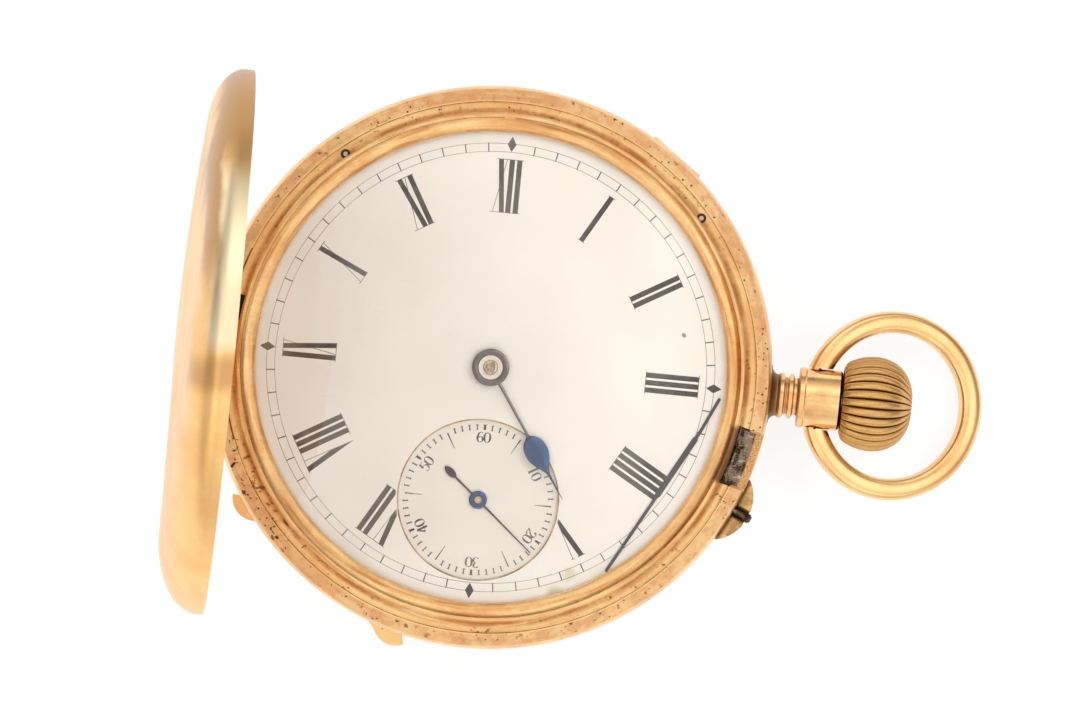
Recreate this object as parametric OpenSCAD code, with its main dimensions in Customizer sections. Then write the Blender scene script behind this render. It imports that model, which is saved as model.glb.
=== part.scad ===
// Full hunter pocket watch, lying on its back with the front cover open
// +X runs to 3 o'clock and the pendant, +Y to 12 o'clock, +Z out of the dial.
// The origin is the centre of the flat of the back cover that the watch rests on.

/* [Movement] */
// Radius of the movement's plates
plate_r = 20.4; // [20.2:0.05:20.8]
// Thickness of the main plate
plate_t = 2; // [1.9:0.05:2.2]
// Space between the plates
train_gap = 1.8; // [1.75:0.05:2]
// Thickness of the three-quarter plate
top_t = 1; // [0.95:0.05:1.1]
// Room between the three-quarter plate and the lower edge of the band
back_room = 0.2; // [0.18:0.01:0.3]
// How far the stem's axis lies below the main plate
stem_drop = 0.3; // [0.25:0.05:0.35]
// Radius of the stem
stem_r = 0.6; // [0.5:0.02:0.64]
// Module of the barrel's teeth
barrel_m = 0.25; // [0.24:0.005:0.255]
// How much longer the way over the third arbor is than straight from the centre to the fourth
train_bend = 0.85; // [0.7:0.05:1]
// The centre wheel's share of that way
centre_share = 0.542; // [0.53:0.002:0.555]
// Module of the fourth wheel
fourth_m = 0.12; // [0.115:0.001:0.125]
// Module of the winding wheels
wind_m = 0.2; // [0.19:0.002:0.202]
// Module of the motion work
motion_m = 0.16; // [0.155:0.001:0.162]
// Play of the balance between the centre wheel and the edge of the plates
balance_play = 0.97; // [0.9:0.01:1.3]

/* [Dial and hands] */
// How far the dial reaches beyond the plates
dial_over = 0.5; // [0.4:0.02:0.6]
// Thickness of the dial
dial_t = 0.6; // [0.5:0.05:0.7]
// Height of the dial's face above the cover seat
dial_rise = 0.2; // [0.1:0.05:0.3]
// Radius of the sunk seconds dial
seconds_r = 7.14; // [6.9:0.02:7.3]
// Distance between the edges of the seconds dial and of the dial
seconds_edge = 1.99; // [1.8:0.01:2.2]
// Depth of the sunk seconds dial
seconds_sink = 0.3; // [0.2:0.05:0.35]
// Direction of the hour hand, clockwise from 12
hour_a = 146; // [0:1:360]
// Length of the hour hand
hour_len = 13.2; // [12.5:0.1:14]
// Direction of the seconds hand, clockwise from 12
second_a = 130; // [0:1:360]
// Length of the seconds hand's pointer
second_len = 6.6; // [6:0.1:6.8]
// Length of the seconds hand's tail
second_tail = 4.16; // [3.5:0.02:5]

/* [Bezel and crystal] */
// Width of the bezel outside the dial's opening
bezel_w = 1.6; // [1.5:0.05:1.8]
// Height of the bezel above its seat
bezel_h = 1.5; // [1.4:0.05:1.8]
// Thickness of the crystal's edge
crystal_t = 0.3; // [0.25:0.05:0.35]
// Rise of the crystal's dome
crystal_rise = 1; // [0.8:0.05:1.4]

/* [Front cover] */
// Space between the bezel and the closed front cover
cover_play = 0.5; // [0.45:0.01:0.6]
// Sheet thickness of the front cover
cover_t = 0.4; // [0.3:0.05:0.5]
// Outer depth of the front cover
cover_h = 4.55; // [4:0.05:5.5]
// Height of the straight wall of the front cover
cover_wall_h = 1.2; // [1:0.1:1.5]
// Angle by which the front cover stands open
cover_open = 86.5; // [80:0.5:95]

/* [Case] */
// Width of the flat rim round the front cover
rim_w = 1.05; // [1:0.01:1.2]
// Step from the rim down to the seat of the front cover
seat_drop = 0.6; // [0.5:0.05:0.8]
// How far the band swells beyond the rim
band_swell = 0.4; // [0.3:0.02:0.6]
// How far the band draws in again to its lower edge
band_bulge = 0.45; // [0.2:0.05:0.6]
// Wall of the case band
band_wall = 0.7; // [0.6:0.05:0.8]
// Least gap between parts of the case that close on each other
case_gap = 0.05; // [0.04:0.01:0.07]

/* [Back covers] */
// How far the back cover lies inside the band's lower edge
back_step = 0.65; // [0.5:0.05:0.8]
// Outer depth of the back cover
back_h = 2.85; // [2.7:0.05:3.4]
// Radius of the worn flat that the watch rests on
back_flat_r = 9; // [8:0.5:12]
// Sheet thickness of the back cover
back_t = 0.45; // [0.35:0.05:0.55]
// How far the dust cover lies inside the back cover's edge
dust_step = 1.6; // [1.5:0.05:1.7]
// Outer depth of the dust cover
dust_h = 1.5; // [1.3:0.05:1.6]
// Sheet thickness of the dust cover
dust_t = 0.35; // [0.25:0.05:0.4]
// Direction of the back hinges, anticlockwise from 3 o'clock
back_hinge_a = 54; // [50:1:60]
// Direction of the thumb lip of the back cover
back_lip_a = 255; // [245:0.1:262]
// Direction of the thumb lip of the dust cover
dust_lip_a = 214.5; // [208:0.1:222]
// How far the thumb lips reach beyond the band
lip_reach = 1.35; // [0.8:0.05:1.6]
// Length of the thumb lips' rising side
lip_tail = 2.9; // [2.4:0.1:3.2]
// Distance from the highest place of a thumb lip to its point
lip_point = 1.3; // [1:0.1:1.5]
// Radius of the thumb lips' round
lip_round = 2.05; // [1.8:0.05:2.4]

/* [Hinges] */
// Radius of the front hinge knuckles
front_knuckle_r = 0.5; // [0.4:0.02:0.52]
// Radius of the back hinge knuckles
back_knuckle_r = 0.6; // [0.5:0.02:0.62]
// Radius of the dust cover hinge knuckles
dust_knuckle_r = 0.42; // [0.38:0.01:0.44]
// Length of the middle knuckle of the front hinge
knuckle_len = 3; // [2.4:0.1:3.4]
// Length of an outer knuckle of the front hinge
side_knuckle_len = 2.9; // [2:0.1:3.4]
// Length of the middle knuckle of the back hinge
back_knuckle_len = 2.2; // [1.8:0.1:2.4]
// Length of an outer knuckle of the back hinge
back_side_len = 1.5; // [1:0.1:1.6]
// Radius of a hinge pin
hinge_pin_r = 0.2; // [0.16:0.01:0.24]
// Running clearance of a pin or shaft in its hole
run_gap = 0.03; // [0.02:0.01:0.05]

/* [Pendant, crown and bow] */
// Length of the grooved neck between band and collar
neck_len = 2.4; // [2.2:0.05:2.8]
// Radius of the grooved neck
neck_r = 1.85; // [1.7:0.05:2.1]
// Radius of the pendant collar
collar_r = 2.68; // [2.5:0.02:2.8]
// Length of the pendant collar
collar_len = 3.8; // [3.4:0.1:4]
// Largest radius of the crown
crown_r = 4.22; // [3.9:0.02:4.4]
// Length of the crown
crown_len = 6.2; // [5.8:0.1:6.8]
// Number of flutes on the crown
crown_flutes = 30; // [24:1:36]
// Depth of the flutes
flute_depth = 0.34; // [0.2:0.02:0.4]
// How far the crown can be pressed
push_travel = 0.7; // [0.4:0.05:0.8]
// Half the width of the bow's wire
wire_w = 0.97; // [0.85:0.01:1.05]
// Half the height of the bow's wire
wire_h = 0.86; // [0.75:0.01:0.95]
// Radius of the bow's ring to the middle of its wire
bow_r = 7.46; // [7.2:0.02:8]
// Distance of the bow's pivot from the collar's inner end
bow_inset = 1.4; // [1.2:0.05:1.6]
// Radius of the bow's pivots
bow_pin_r = 0.45; // [0.35:0.05:0.5]
// Height of the bow above the resting surface
bow_floor_gap = 0.3; // [0.2:0.05:1]

/* [Hidden] */

$fn = 96;
small_fn = 24;
eps = 0.01;
far = 100;

// Radii of the case, from the movement outwards
dial_r = plate_r + dial_over;
lip_r = dial_r + 2 * case_gap;
crystal_r = lip_r + 2 * case_gap;
bezel_r = lip_r + bezel_w;
cover_r = bezel_r + cover_play + cover_t;
seat_r = cover_r + case_gap;
rim_r = seat_r + rim_w;
band_r = rim_r + band_swell;
back_r = band_r - band_bulge - back_step;
dust_r = back_r - dust_step;

// Levels, from the resting face up through the movement to the bezel
band_z0 = back_h + case_gap;
top_z0 = band_z0 + back_room;
top_z1 = top_z0 + top_t;
plate_z0 = top_z1 + train_gap;
plate_z1 = plate_z0 + plate_t;
dial_z0 = plate_z1;
dial_z1 = dial_z0 + dial_t;
seat_z = dial_z1 - dial_rise;
rim_z = seat_z + seat_drop;
cover_z = seat_z + case_gap;
bezel_z = seat_z + bezel_h;
stem_z = plate_z0 - stem_drop;
motion_z0 = plate_z1 - 1;
sub_z1 = dial_z1 - seconds_sink;

// Profile helpers
function arc_points(c, rx, ry, a0, a1, n) =
    [for (i = [0:n]) let (a = a0 + (a1 - a0) * i / n) [c[0] + rx * cos(a), c[1] + ry * sin(a)]];
function sag_radius(half, sag) = (half * half + sag * sag) / (2 * sag);
function polar(r, a) = [r * cos(a), r * sin(a)];
function unit(v) = v / norm(v);
function turn_of(v) = atan2(v[1], v[0]);

// A shallow lid's outer line from its rim to its middle: wall, rounded shoulder, dome, flat
function lid_line(r, h, wall_h, shoulder, sag, flat_r) =
    let (half = r - shoulder - flat_r, big = sag_radius(half, sag), a = asin(half / big))
    concat([[r, 0]],
        arc_points([r - shoulder, wall_h], shoulder, h - sag - wall_h, 0, 84, 9),
        [for (i = [1:9]) let (b = a * (1 - i / 9)) [flat_r + big * sin(b), h - big + big * cos(b)]]);

function back_to_front(list) = [for (i = [len(list) - 1:-1:0]) list[i]];

// Closed section of such a lid with the sheet thickness t
function lid_section(r, h, wall_h, shoulder, sag, flat_r, t) =
    concat(lid_line(r, h, wall_h, shoulder, sag, flat_r), [[0, h], [0, h - t]],
        back_to_front(lid_line(r - t, h - t, wall_h, shoulder - t / 2, sag, flat_r)));

// A hinge's bar along Y through the point x, z
module bar_y(x, z, r, y0, y1) {
    translate([x, y0, z]) rotate([-90, 0, 0]) cylinder(r = r, h = y1 - y0, $fn = 48);
}

// A rod along X
module bar_x(x0, x1, r, z = 0, fn = 48) {
    translate([x0, 0, z]) rotate([0, 90, 0]) cylinder(r = r, h = x1 - x0, $fn = fn);
}

module disc(r, z0, z1, at = [0, 0], fn = 96) {
    translate([at[0], at[1], z0]) cylinder(r = r, h = z1 - z0, $fn = fn);
}

module box_between(a, b) {
    translate(a) cube(b - a);
}

// A flat bar with round ends between two points
module link(a, b, w, z0, z1) {
    disc(w / 2, z0, z1, a, 32);
    disc(w / 2, z0, z1, b, 32);
    translate([a[0], a[1], z0]) rotate(turn_of(b - a)) translate([0, -w / 2, 0])
        cube([norm(b - a), w, z1 - z0]);
}

// Outline of the case band
band_mid = (band_z0 + rim_z) / 2;
band_side = concat(
    arc_points([band_r - band_bulge, band_mid - 0.1], band_bulge, band_mid - 0.1 - band_z0, -90, 0, 6),
    arc_points([rim_r, band_mid + 0.1], band_r - rim_r, rim_z - band_mid - 0.1, 0, 90, 6));
channel_r = band_r - band_wall;
channel_z0 = band_z0 + 0.75;
channel_z1 = seat_z - 1.2;
ledge_z = plate_z1 - 0.3;
ledge_r = plate_r + 0.15;

// Front hinge, at 9 o'clock
front_hinge_x = cover_r + case_gap + front_knuckle_r;
front_hinge_z = rim_z - 0.45;
front_hinge_half = knuckle_len / 2 + side_knuckle_len;
spring_window = [2.0, 4.3];
hinge_flat = 4 * side_knuckle_len + 5.4;

// Back hinge and dust cover hinge, on one side at back_hinge_a
back_hinge_x = back_r + case_gap + back_knuckle_r;
back_hinge_z = band_z0 + 0.2;
back_hinge_half = back_knuckle_len / 2 + back_side_len + case_gap;
dust_hinge_x = dust_r + case_gap + dust_knuckle_r;
dust_hinge_z = band_z0 + 0.15;
dust_hinge_half = 2.9;
dust_len = 1.9;
dust_rim_z = band_z0 + 0.4;

// Lock spring and its head beside the pendant
catch_a = -14.5;
catch_len = 4.95;
catch_x0 = bezel_r + 0.08;
catch_x1 = band_r - 0.2;
spring_t = 0.4;
spring_r = bezel_r + spring_t / 2;
spring_z0 = stem_z - 1.1;
spring_z1 = channel_z1 - 0.25;
lock_pivot_a = 75;
fly_pivot_a = 104;
catch_z0 = seat_z - 1;
catch_z1 = seat_z - 0.02;
catch_swing = 0.25;

// Nail-set push piece
nail_a = -25;
nail_z = stem_z;
nail_r = 0.42;
nail_travel = 0.8;
guard_chord = 6;
guard_bulge = 1.4;
guard_h = 3.2;
guard_slot = 1.3;
guard_r = sag_radius(guard_chord / 2, guard_bulge);
nail_x0 = plate_r - 0.1;
nail_x1 = band_r + guard_bulge + 0.35;

// Pendant
collar_x0 = band_r + neck_len;
collar_x1 = collar_x0 + collar_len;
bow_x = collar_x0 + bow_inset;
sleeve_r = 1;
crown_x = collar_x1 + 0.1;
crown_recess = push_travel + 0.25;
stem_x1 = crown_x + crown_recess;
bow_offset = bow_r - 0.1;
bow_ear_y = collar_r + 0.04;
bow_gap_a = asin((bow_ear_y - wire_w) / bow_r);
bow_slope = asin((stem_z - wire_h - bow_floor_gap) / (bow_offset + bow_r));

// Wheels of the train, as tooth counts and axes
barrel_n = 64;
centre_n = 64;
third_n = 60;
fourth_n = 70;
leaf_n = 8;
escape_leaf_n = 7;
crown_wheel_n = 40;
ratchet_n = 64;
centre_at = [0, 0];
seconds_y = dial_r - seconds_edge - seconds_r;
fourth_at = [0, -seconds_y];
wheel_add = 0.8;
wheel_ded = 1.15;
centre_third = (seconds_y + train_bend) * centre_share;
third_fourth = seconds_y + train_bend - centre_third;
centre_m = 2 * centre_third / (centre_n + leaf_n);
third_m = 2 * third_fourth / (third_n + leaf_n);
third_dy = (centre_third ^ 2 - third_fourth ^ 2 + seconds_y ^ 2) / (2 * seconds_y);
third_at = [sqrt(centre_third ^ 2 - third_dy ^ 2), -third_dy];
fourth_escape = fourth_m * (fourth_n + escape_leaf_n) / 2;
escape_at = fourth_at + polar(fourth_escape, 200);
crown_wheel_r = wind_m * crown_wheel_n / 2;
pinion_x0 = plate_r - 3.5;
crown_wheel_at = [pinion_x0 + 0.7 - crown_wheel_r, 0];
crown_ratchet = wind_m * (crown_wheel_n + ratchet_n) / 2;
centre_barrel = barrel_m * (barrel_n + leaf_n) / 2;
barrel_dx = (centre_barrel ^ 2 - crown_ratchet ^ 2 + crown_wheel_at[0] ^ 2) / (2 * crown_wheel_at[0]);
barrel_at = [barrel_dx, sqrt(centre_barrel ^ 2 - barrel_dx ^ 2)];
barrel_r = barrel_m * barrel_n / 2;

// Escapement
escape_r = 2.6;
escape_n = 15;
balance_r = (plate_r - centre_m * (centre_n / 2 + wheel_add) - balance_play) / 2;
balance_at = polar(plate_r - 0.4 - balance_r, 209.6);
pallet_at = escape_at + 3 * unit(balance_at - escape_at);
cock_foot_at = balance_at + polar(balance_r + 2, 115);
escape_foot_at = escape_at + polar(3.96, 214.6);

// Levels inside the movement
barrel_z0 = top_z1 + 0.65;
barrel_z1 = motion_z0 - 0.35;
centre_z = [top_z1 + 0.15, top_z1 + 0.5];
third_z = [plate_z0 - 0.7, plate_z0 - 0.45];
fourth_z = [top_z1 + 0.25, top_z1 + 0.5];
escape_z = [plate_z0 - 0.6, plate_z0 - 0.4];
wind_z = [top_z0 - 0.15, top_z0 + 0.4];
balance_z = [top_z1 + 0.3, top_z1 + 0.8];
cock_z = [top_z0 - 0.35, top_z0 + 0.3];
jewel_r = 0.7;
jewel_t = 0.4;
pivot_r = 0.14;
arbor_r = 0.32;

// Motion work
cannon_n = 12;
minute_n = 36;
minute_leaf_n = 10;
hour_n = 40;
inter_n = 28;
setting_n = 24;
cannon_minute = motion_m * (cannon_n + minute_n) / 2;
minute_at = [cannon_minute, 0];
hour_m = 2 * cannon_minute / (minute_leaf_n + hour_n);
inter_at = minute_at + [motion_m * (minute_n + inter_n) / 2, 0];
setting_at = inter_at + [motion_m * (inter_n + setting_n) / 2, 0];
hour_hand_z = [dial_z1 + 0.42, dial_z1 + 0.6];
hour_pipe_r = 1.07;
cannon_r = 0.62;
hand_top_z = dial_z1 + 1.1;

// Clutch and stem
clutch_x = [pinion_x0 - 1.9, pinion_x0 - 0.1];
clutch_r = 1.3;
groove_x = [clutch_x[0] + 0.55, clutch_x[0] + 1.05];
square_w = stem_r * sqrt(2);
square_x = [clutch_x[0] - 0.7, pinion_x0 + push_travel + 0.05];
pinion_len = 1.8;
pinion_r = 1.95;
yoke_travel = 0.45;

// A tooth outline on a circle: n teeth of module m, addendum add, widths as shares of a pitch
function teeth(n, m, add, ded, base_w, tip_w, phase) =
    let (p = 360 / n, r0 = m * (n / 2 - ded), r1 = m * (n / 2 + add))
    [for (i = [0:n - 1]) let (a = phase + i * p)
        each [polar(r0, a - p * base_w / 2), polar(r1, a - p * tip_w / 2),
            polar(r1, a + p * tip_w / 2), polar(r0, a + p * base_w / 2)]];

module gear_disc(n, m, phase, z0, z1, at) {
    translate([at[0], at[1], z0]) linear_extrude(z1 - z0)
        polygon(teeth(n, m, wheel_add, wheel_ded, 0.56, 0.14, phase));
}

// A wheel with crossings: rim, hub and straight arms
module crossed_wheel(n, m, phase, z0, z1, at, rim, hub_r, arms) {
    root_r = m * (n / 2 - wheel_ded);
    translate([at[0], at[1], z0]) linear_extrude(z1 - z0) {
        difference() {
            polygon(teeth(n, m, wheel_add, wheel_ded, 0.56, 0.14, phase));
            circle(root_r - rim, $fn = 64);
        }
        circle(hub_r, $fn = 48);
        for (i = [0:arms - 1])
            rotate(i * 360 / arms) translate([0, -rim / 3]) square([root_r - rim / 2, rim / 1.5]);
    }
}

module pinion(n, m, phase, z0, z1, at) {
    translate([at[0], at[1], z0]) linear_extrude(z1 - z0)
        polygon(teeth(n, m, 0.7, 1.25, 0.5, 0.16, phase));
}

// An arbor with a thin pivot at each end
module arbor(at, z0, z1, r = arbor_r) {
    disc(r, z0 + jewel_t + 0.03, z1 - jewel_t - 0.03, at, 32);
    disc(pivot_r, z0, z1, at, 24);
}

// Rolled half ring of a band spring along the inside of the band
module arc_strip(r0, r1, a0, a1, z0, z1) {
    rotate([0, 0, a0]) rotate_extrude(angle = a1 - a0) translate([r0, z0]) square([r1 - r0, z1 - z0]);
}

// A flat spiral strip; its turns stay apart by pitch - t
function spiral_line(r0, pitch, turns, per_turn, side) =
    [for (i = [0:turns * per_turn]) let (a = i * 360 / per_turn)
        polar(r0 + pitch * a / 360 + side, a)];

module spiral_strip(r0, pitch, turns, t, z0, z1) {
    translate([0, 0, z0]) linear_extrude(z1 - z0) polygon(concat(
        spiral_line(r0, pitch, turns, 24, -t / 2),
        back_to_front(spiral_line(r0, pitch, turns, 24, t / 2))));
}

hair_r0 = 1;
hair_pitch = 0.55;
hair_turns = 5;
hair_t = 0.12;
hair_points = spiral_line(hair_r0, hair_pitch, hair_turns, 24, 0);
hair_gap = min([for (i = [0:len(hair_points) - 25]) norm(hair_points[i + 24] - hair_points[i])]) - hair_t;
echo(least_gap_between_hairspring_turns = hair_gap);

// Case
module band_section() {
    polygon(concat(band_side, [[seat_r, rim_z], [seat_r, seat_z], [lip_r, seat_z],
        [lip_r, ledge_z], [ledge_r, ledge_z], [ledge_r, channel_z1], [channel_r, channel_z1],
        [channel_r, channel_z0], [dust_r - 0.4, channel_z0], [dust_r - 0.4, dust_rim_z + case_gap],
        [dust_r + 0.15, dust_rim_z + case_gap], [dust_r + 0.15, band_z0]]));
}

module case_middle() {
    color("goldenrod") {
        difference() {
            union() {
                difference() {
                    rotate_extrude() band_section();
                    front_hinge_seats();
                    back_hinge_seats();
                }
                front_case_knuckles();
                back_case_knuckles();
            }
            front_hinge_hole(0);
            back_hinge_hole(0);
            dust_hinge_hole(0);
            spring_slots();
            bar_x(plate_r, band_r + 1, sleeve_r + 0.5, stem_z);
            rotate(nail_a) bar_x(plate_r, band_r + 1, nail_r + run_gap, nail_z);
            rotate(dust_lip_a) box_between([dust_r - 0.5, -lip_point - 0.2, band_z0 - 1],
                [band_r + 1, lip_tail + 0.2, dust_rim_z + case_gap]);
            rim_pin_holes();
        }
    }
}

module front_hinge_seats() {
    rotate(180) {
        box_between([cover_r - cover_t, -front_hinge_half - case_gap, front_hinge_z - 0.05],
            [band_r + 1, front_hinge_half + case_gap, rim_z + 1]);
        box_between([cover_r - 0.1, -knuckle_len / 2 - case_gap, front_hinge_z - front_knuckle_r - 0.08],
            [band_r + 1, knuckle_len / 2 + case_gap, rim_z + 1]);
        intersection() {
            disc(seat_r + 0.11, seat_z, rim_z + 1);
            box_between([bezel_r - 1, -hinge_flat / 2, seat_z + 0.05], [band_r, hinge_flat / 2, rim_z + 2]);
        }
    }
}

module front_case_knuckles() {
    rotate(180) for (s = [0, 1]) mirror([0, s, 0])
        bar_y(front_hinge_x, front_hinge_z, front_knuckle_r, knuckle_len / 2 + case_gap, front_hinge_half);
}

module front_hinge_hole(gap) {
    rotate(180) bar_y(front_hinge_x, front_hinge_z, hinge_pin_r + gap, -front_hinge_half - 1, front_hinge_half + 1);
}

module back_hinge_seats() {
    rotate(back_hinge_a) {
        box_between([back_r + case_gap, -back_hinge_half - case_gap, band_z0 - 1],
            [band_r + 1, back_hinge_half + case_gap, back_hinge_z + 0.05]);
        box_between([back_r + case_gap - 0.3, -back_knuckle_len / 2 - case_gap, band_z0 - 1],
            [band_r + 1, back_knuckle_len / 2 + case_gap, back_hinge_z + back_knuckle_r + 0.08]);
        box_between([dust_r - 0.5, -dust_len / 2 - case_gap, band_z0 - 1],
            [dust_hinge_x + dust_knuckle_r + 0.08, dust_len / 2 + case_gap, dust_hinge_z + dust_knuckle_r + 0.1]);
        box_between([dust_r - 0.5, -dust_hinge_half - case_gap, band_z0 - 1],
            [dust_hinge_x + dust_knuckle_r + 0.08, dust_hinge_half + case_gap, dust_hinge_z + 0.03]);
    }
}

module back_case_knuckles() {
    rotate(back_hinge_a) for (s = [0, 1]) mirror([0, s, 0]) {
        bar_y(back_hinge_x, back_hinge_z, back_knuckle_r, back_knuckle_len / 2 + case_gap, back_hinge_half);
        bar_y(dust_hinge_x, dust_hinge_z, dust_knuckle_r, dust_len / 2 + case_gap, dust_hinge_half);
    }
}

module back_hinge_hole(gap) {
    rotate(back_hinge_a) bar_y(back_hinge_x, back_hinge_z, hinge_pin_r + gap, -back_hinge_half - 1, back_hinge_half + 1);
}

module dust_hinge_hole(gap) {
    rotate(back_hinge_a) bar_y(dust_hinge_x, dust_hinge_z, hinge_pin_r + gap, -dust_hinge_half - 1, dust_hinge_half + 1);
}

// Openings in the band's top for the catch and for the tip of the fly spring
module spring_slots() {
    rotate(catch_a) {
        box_between([catch_x0 - catch_swing - 0.15, -catch_len / 2 - 0.2, catch_z0 - 0.1],
            [band_r + 1, catch_len / 2 + 0.2, rim_z + 1]);
        box_between([catch_x0 - catch_swing - 0.15, -catch_len / 2 - 0.2, channel_z1 - 1],
            [catch_x0 + 0.85, catch_len / 2 + 0.2, rim_z + 1]);
    }
    rotate(180) box_between([bezel_r + 0.06, -spring_window[1], channel_z1 - 1],
        [cover_r - 0.02, -spring_window[0], seat_z + 0.1]);
}

module rim_pin_holes() {
    for (a = [40.8, 129.7])
        rotate(a) disc(0.2, seat_z - 0.6, seat_z + 1, [(bezel_r + cover_r - cover_t) / 2, 0], small_fn);
}

module rim_pins() {
    color("gray") for (a = [40.8, 129.7])
        rotate(a) disc(0.2, seat_z - 0.6, seat_z + 0.25, [(bezel_r + cover_r - cover_t) / 2, 0], small_fn);
}

module pendant() {
    color("goldenrod") difference() {
        translate([0, 0, stem_z]) rotate([0, 90, 0]) rotate_extrude() pendant_section();
        rotate_extrude() polygon(concat([[0, band_z0]], band_side, [[0, rim_z]]));
        for (s = [0, 1]) mirror([0, s, 0])
            bar_y(bow_x, stem_z, bow_pin_r + run_gap, collar_r - 0.85, collar_r + 1);
    }
}

// Section of the pendant: flared base, ringed neck, collar; the bore takes the sleeve
module pendant_section() {
    polygon(concat([[sleeve_r + run_gap, band_r - 0.9], [neck_r + 0.75, band_r - 0.9],
        [neck_r + 0.75, band_r - 0.1]],
        arc_points([neck_r + 0.8, band_r + 0.5], 0.8, 0.6, 270, 180, 5),
        [[neck_r + 0.15, band_r + 0.75], [neck_r + 0.15, band_r + 1.05], [neck_r - 0.2, band_r + 1.2],
        [neck_r - 0.2, band_r + 1.4], [neck_r + 0.15, band_r + 1.55], [neck_r + 0.15, band_r + 1.85],
        [neck_r - 0.2, band_r + 2], [neck_r - 0.2, collar_x0 - 0.1],
        [neck_r, collar_x0], [collar_r - 0.1, collar_x0], [collar_r, collar_x0 + 0.1],
        [collar_r, collar_x0 + 0.5], [collar_r - 0.08, collar_x0 + 0.6], [collar_r - 0.04, collar_x0 + 1],
        [collar_r, collar_x1 - 0.2], [collar_r - 0.2, collar_x1], [sleeve_r + run_gap, collar_x1]]));
}

module stem_sleeve() {
    color("darkgoldenrod") difference() {
        bar_x(band_r + 1.4, collar_x1 - 0.2, sleeve_r, stem_z);
        bar_x(band_r, collar_x1 + 1, stem_r + run_gap, stem_z);
    }
}

// Section of the bow's wire: an oval with flattened sides
wire_section = [for (i = [0:23]) let (a = i * 15, k = 1 / (cos(a) ^ 4 + sin(a) ^ 4) ^ 0.2)
    [bow_r + wire_w * k * cos(a), wire_h * k * sin(a)]];

// The ring hangs on two pins in the collar and slopes down to the table
module bow() {
    color("goldenrod") translate([bow_x, 0, stem_z]) rotate([0, bow_slope, 0]) {
        difference() {
            translate([bow_offset, 0, 0]) rotate([0, 0, bow_gap_a - 180])
                rotate_extrude(angle = 360 - 2 * bow_gap_a) polygon(wire_section);
            box_between([-3, -bow_ear_y, -2], [4, bow_ear_y, 2]);
        }
        for (s = [0, 1]) mirror([0, s, 0])
            bar_y(0, 0, bow_pin_r, collar_r - 0.8, bow_ear_y + 0.4);
    }
}

module bezel() {
    groove_z = dial_z1 + 0.4;
    inner = dial_r - 0.05;
    color("goldenrod") {
        difference() {
            rotate_extrude() polygon(concat(
                [[inner, dial_z1 + 0.1], [inner, groove_z], [crystal_r + case_gap, groove_z],
                [crystal_r + case_gap, groove_z + crystal_t + 0.04],
                [crystal_r - 0.12, groove_z + crystal_t + 0.04],
                [crystal_r - 0.12, groove_z + crystal_t + 0.12]],
                arc_points([crystal_r, bezel_z], 1.05, bezel_z - groove_z - crystal_t - 0.12, 280, 360, 7),
                [[bezel_r - 0.18, bezel_z], [bezel_r, bezel_z - 0.18], [bezel_r, seat_z],
                [lip_r + 0.3, seat_z], [lip_r + 0.3, dial_z1 + 0.1]]));
            rotate(91) box_between([bezel_r - 0.75, -0.5, bezel_z - 0.25], [bezel_r + 1, 0.5, bezel_z + 1]);
        }
        rotate(91) box_between([bezel_r - 0.7, -0.3, bezel_z - 0.3], [bezel_r - 0.2, 0.3, bezel_z - 0.05]);
        nail_ledge();
    }
}

// Crescent at 6 o'clock that a nail lifts the bezel by
module nail_ledge() {
    reach = 0.42;
    half = bezel_r * sin(22);
    ledge_r2 = sag_radius(half, bezel_r + reach - bezel_r * cos(22));
    difference() {
        disc(ledge_r2, seat_z, seat_z + 0.45, [0, -bezel_r - reach + ledge_r2]);
        disc(bezel_r - 0.3, seat_z - 1, seat_z + 1);
    }
}

module crystal() {
    edge_z = dial_z1 + 0.41;
    big = sag_radius(crystal_r - 0.2, crystal_rise);
    a = asin((crystal_r - 0.2) / big);
    top_z = edge_z + crystal_t + crystal_rise;
    color([0.85, 0.9, 0.9, 0.4]) rotate_extrude() polygon(concat(
        [[crystal_r, edge_z], [crystal_r, edge_z + crystal_t]],
        [for (i = [0:10]) let (b = a * (1 - i / 10)) [big * sin(b), top_z - big + big * cos(b)]],
        [for (i = [0:10]) let (b = a * i / 10) [big * sin(b), top_z - crystal_t - big + big * cos(b)]]));
}

// Covers are drawn closed and then turned about their hinges
module turned_about_y(x, z, a) {
    translate([x, 0, z]) rotate([0, -a, 0]) translate([-x, 0, -z]) children();
}

module front_cover() {
    color("gold") rotate(180) turned_about_y(front_hinge_x, front_hinge_z, -cover_open) {
        difference() {
            union() {
                translate([0, 0, cover_z]) rotate_extrude()
                    polygon(lid_section(cover_r, cover_h, cover_wall_h, 3.2, 1, 0, cover_t));
                bar_y(front_hinge_x, front_hinge_z, front_knuckle_r, -knuckle_len / 2, knuckle_len / 2);
                box_between([cover_r - cover_t, -knuckle_len / 2, front_hinge_z + 0.05],
                    [front_hinge_x, knuckle_len / 2, front_hinge_z + front_knuckle_r]);
            }
            bar_y(front_hinge_x, front_hinge_z, hinge_pin_r + run_gap, -knuckle_len, knuckle_len);
            translate([0, 0, cover_z + 0.45]) rotate_extrude()
                translate([cover_r - cover_t - eps, 0]) square([0.12, 0.25]);
        }
    }
}

module front_hinge_pin() {
    color("gray") rotate(180) bar_y(front_hinge_x, front_hinge_z, hinge_pin_r, -front_hinge_half, front_hinge_half);
}

// A thumb lip: a thin crescent whose thickest place is in the direction +X
module thumb_lip(r_in, r_tip, z0, z1) {
    translate([0, 0, z0]) linear_extrude(z1 - z0) polygon(concat(
        [[r_in - 0.3, lip_point - 0.5], [r_in - 0.3, -lip_tail], [band_r - 0.3, -lip_tail]],
        arc_points([r_tip - lip_round, 0], lip_round, lip_round, -58, asin(lip_point / lip_round), 10),
        [[band_r + 0.1, lip_point - 0.4]]));
}

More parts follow.
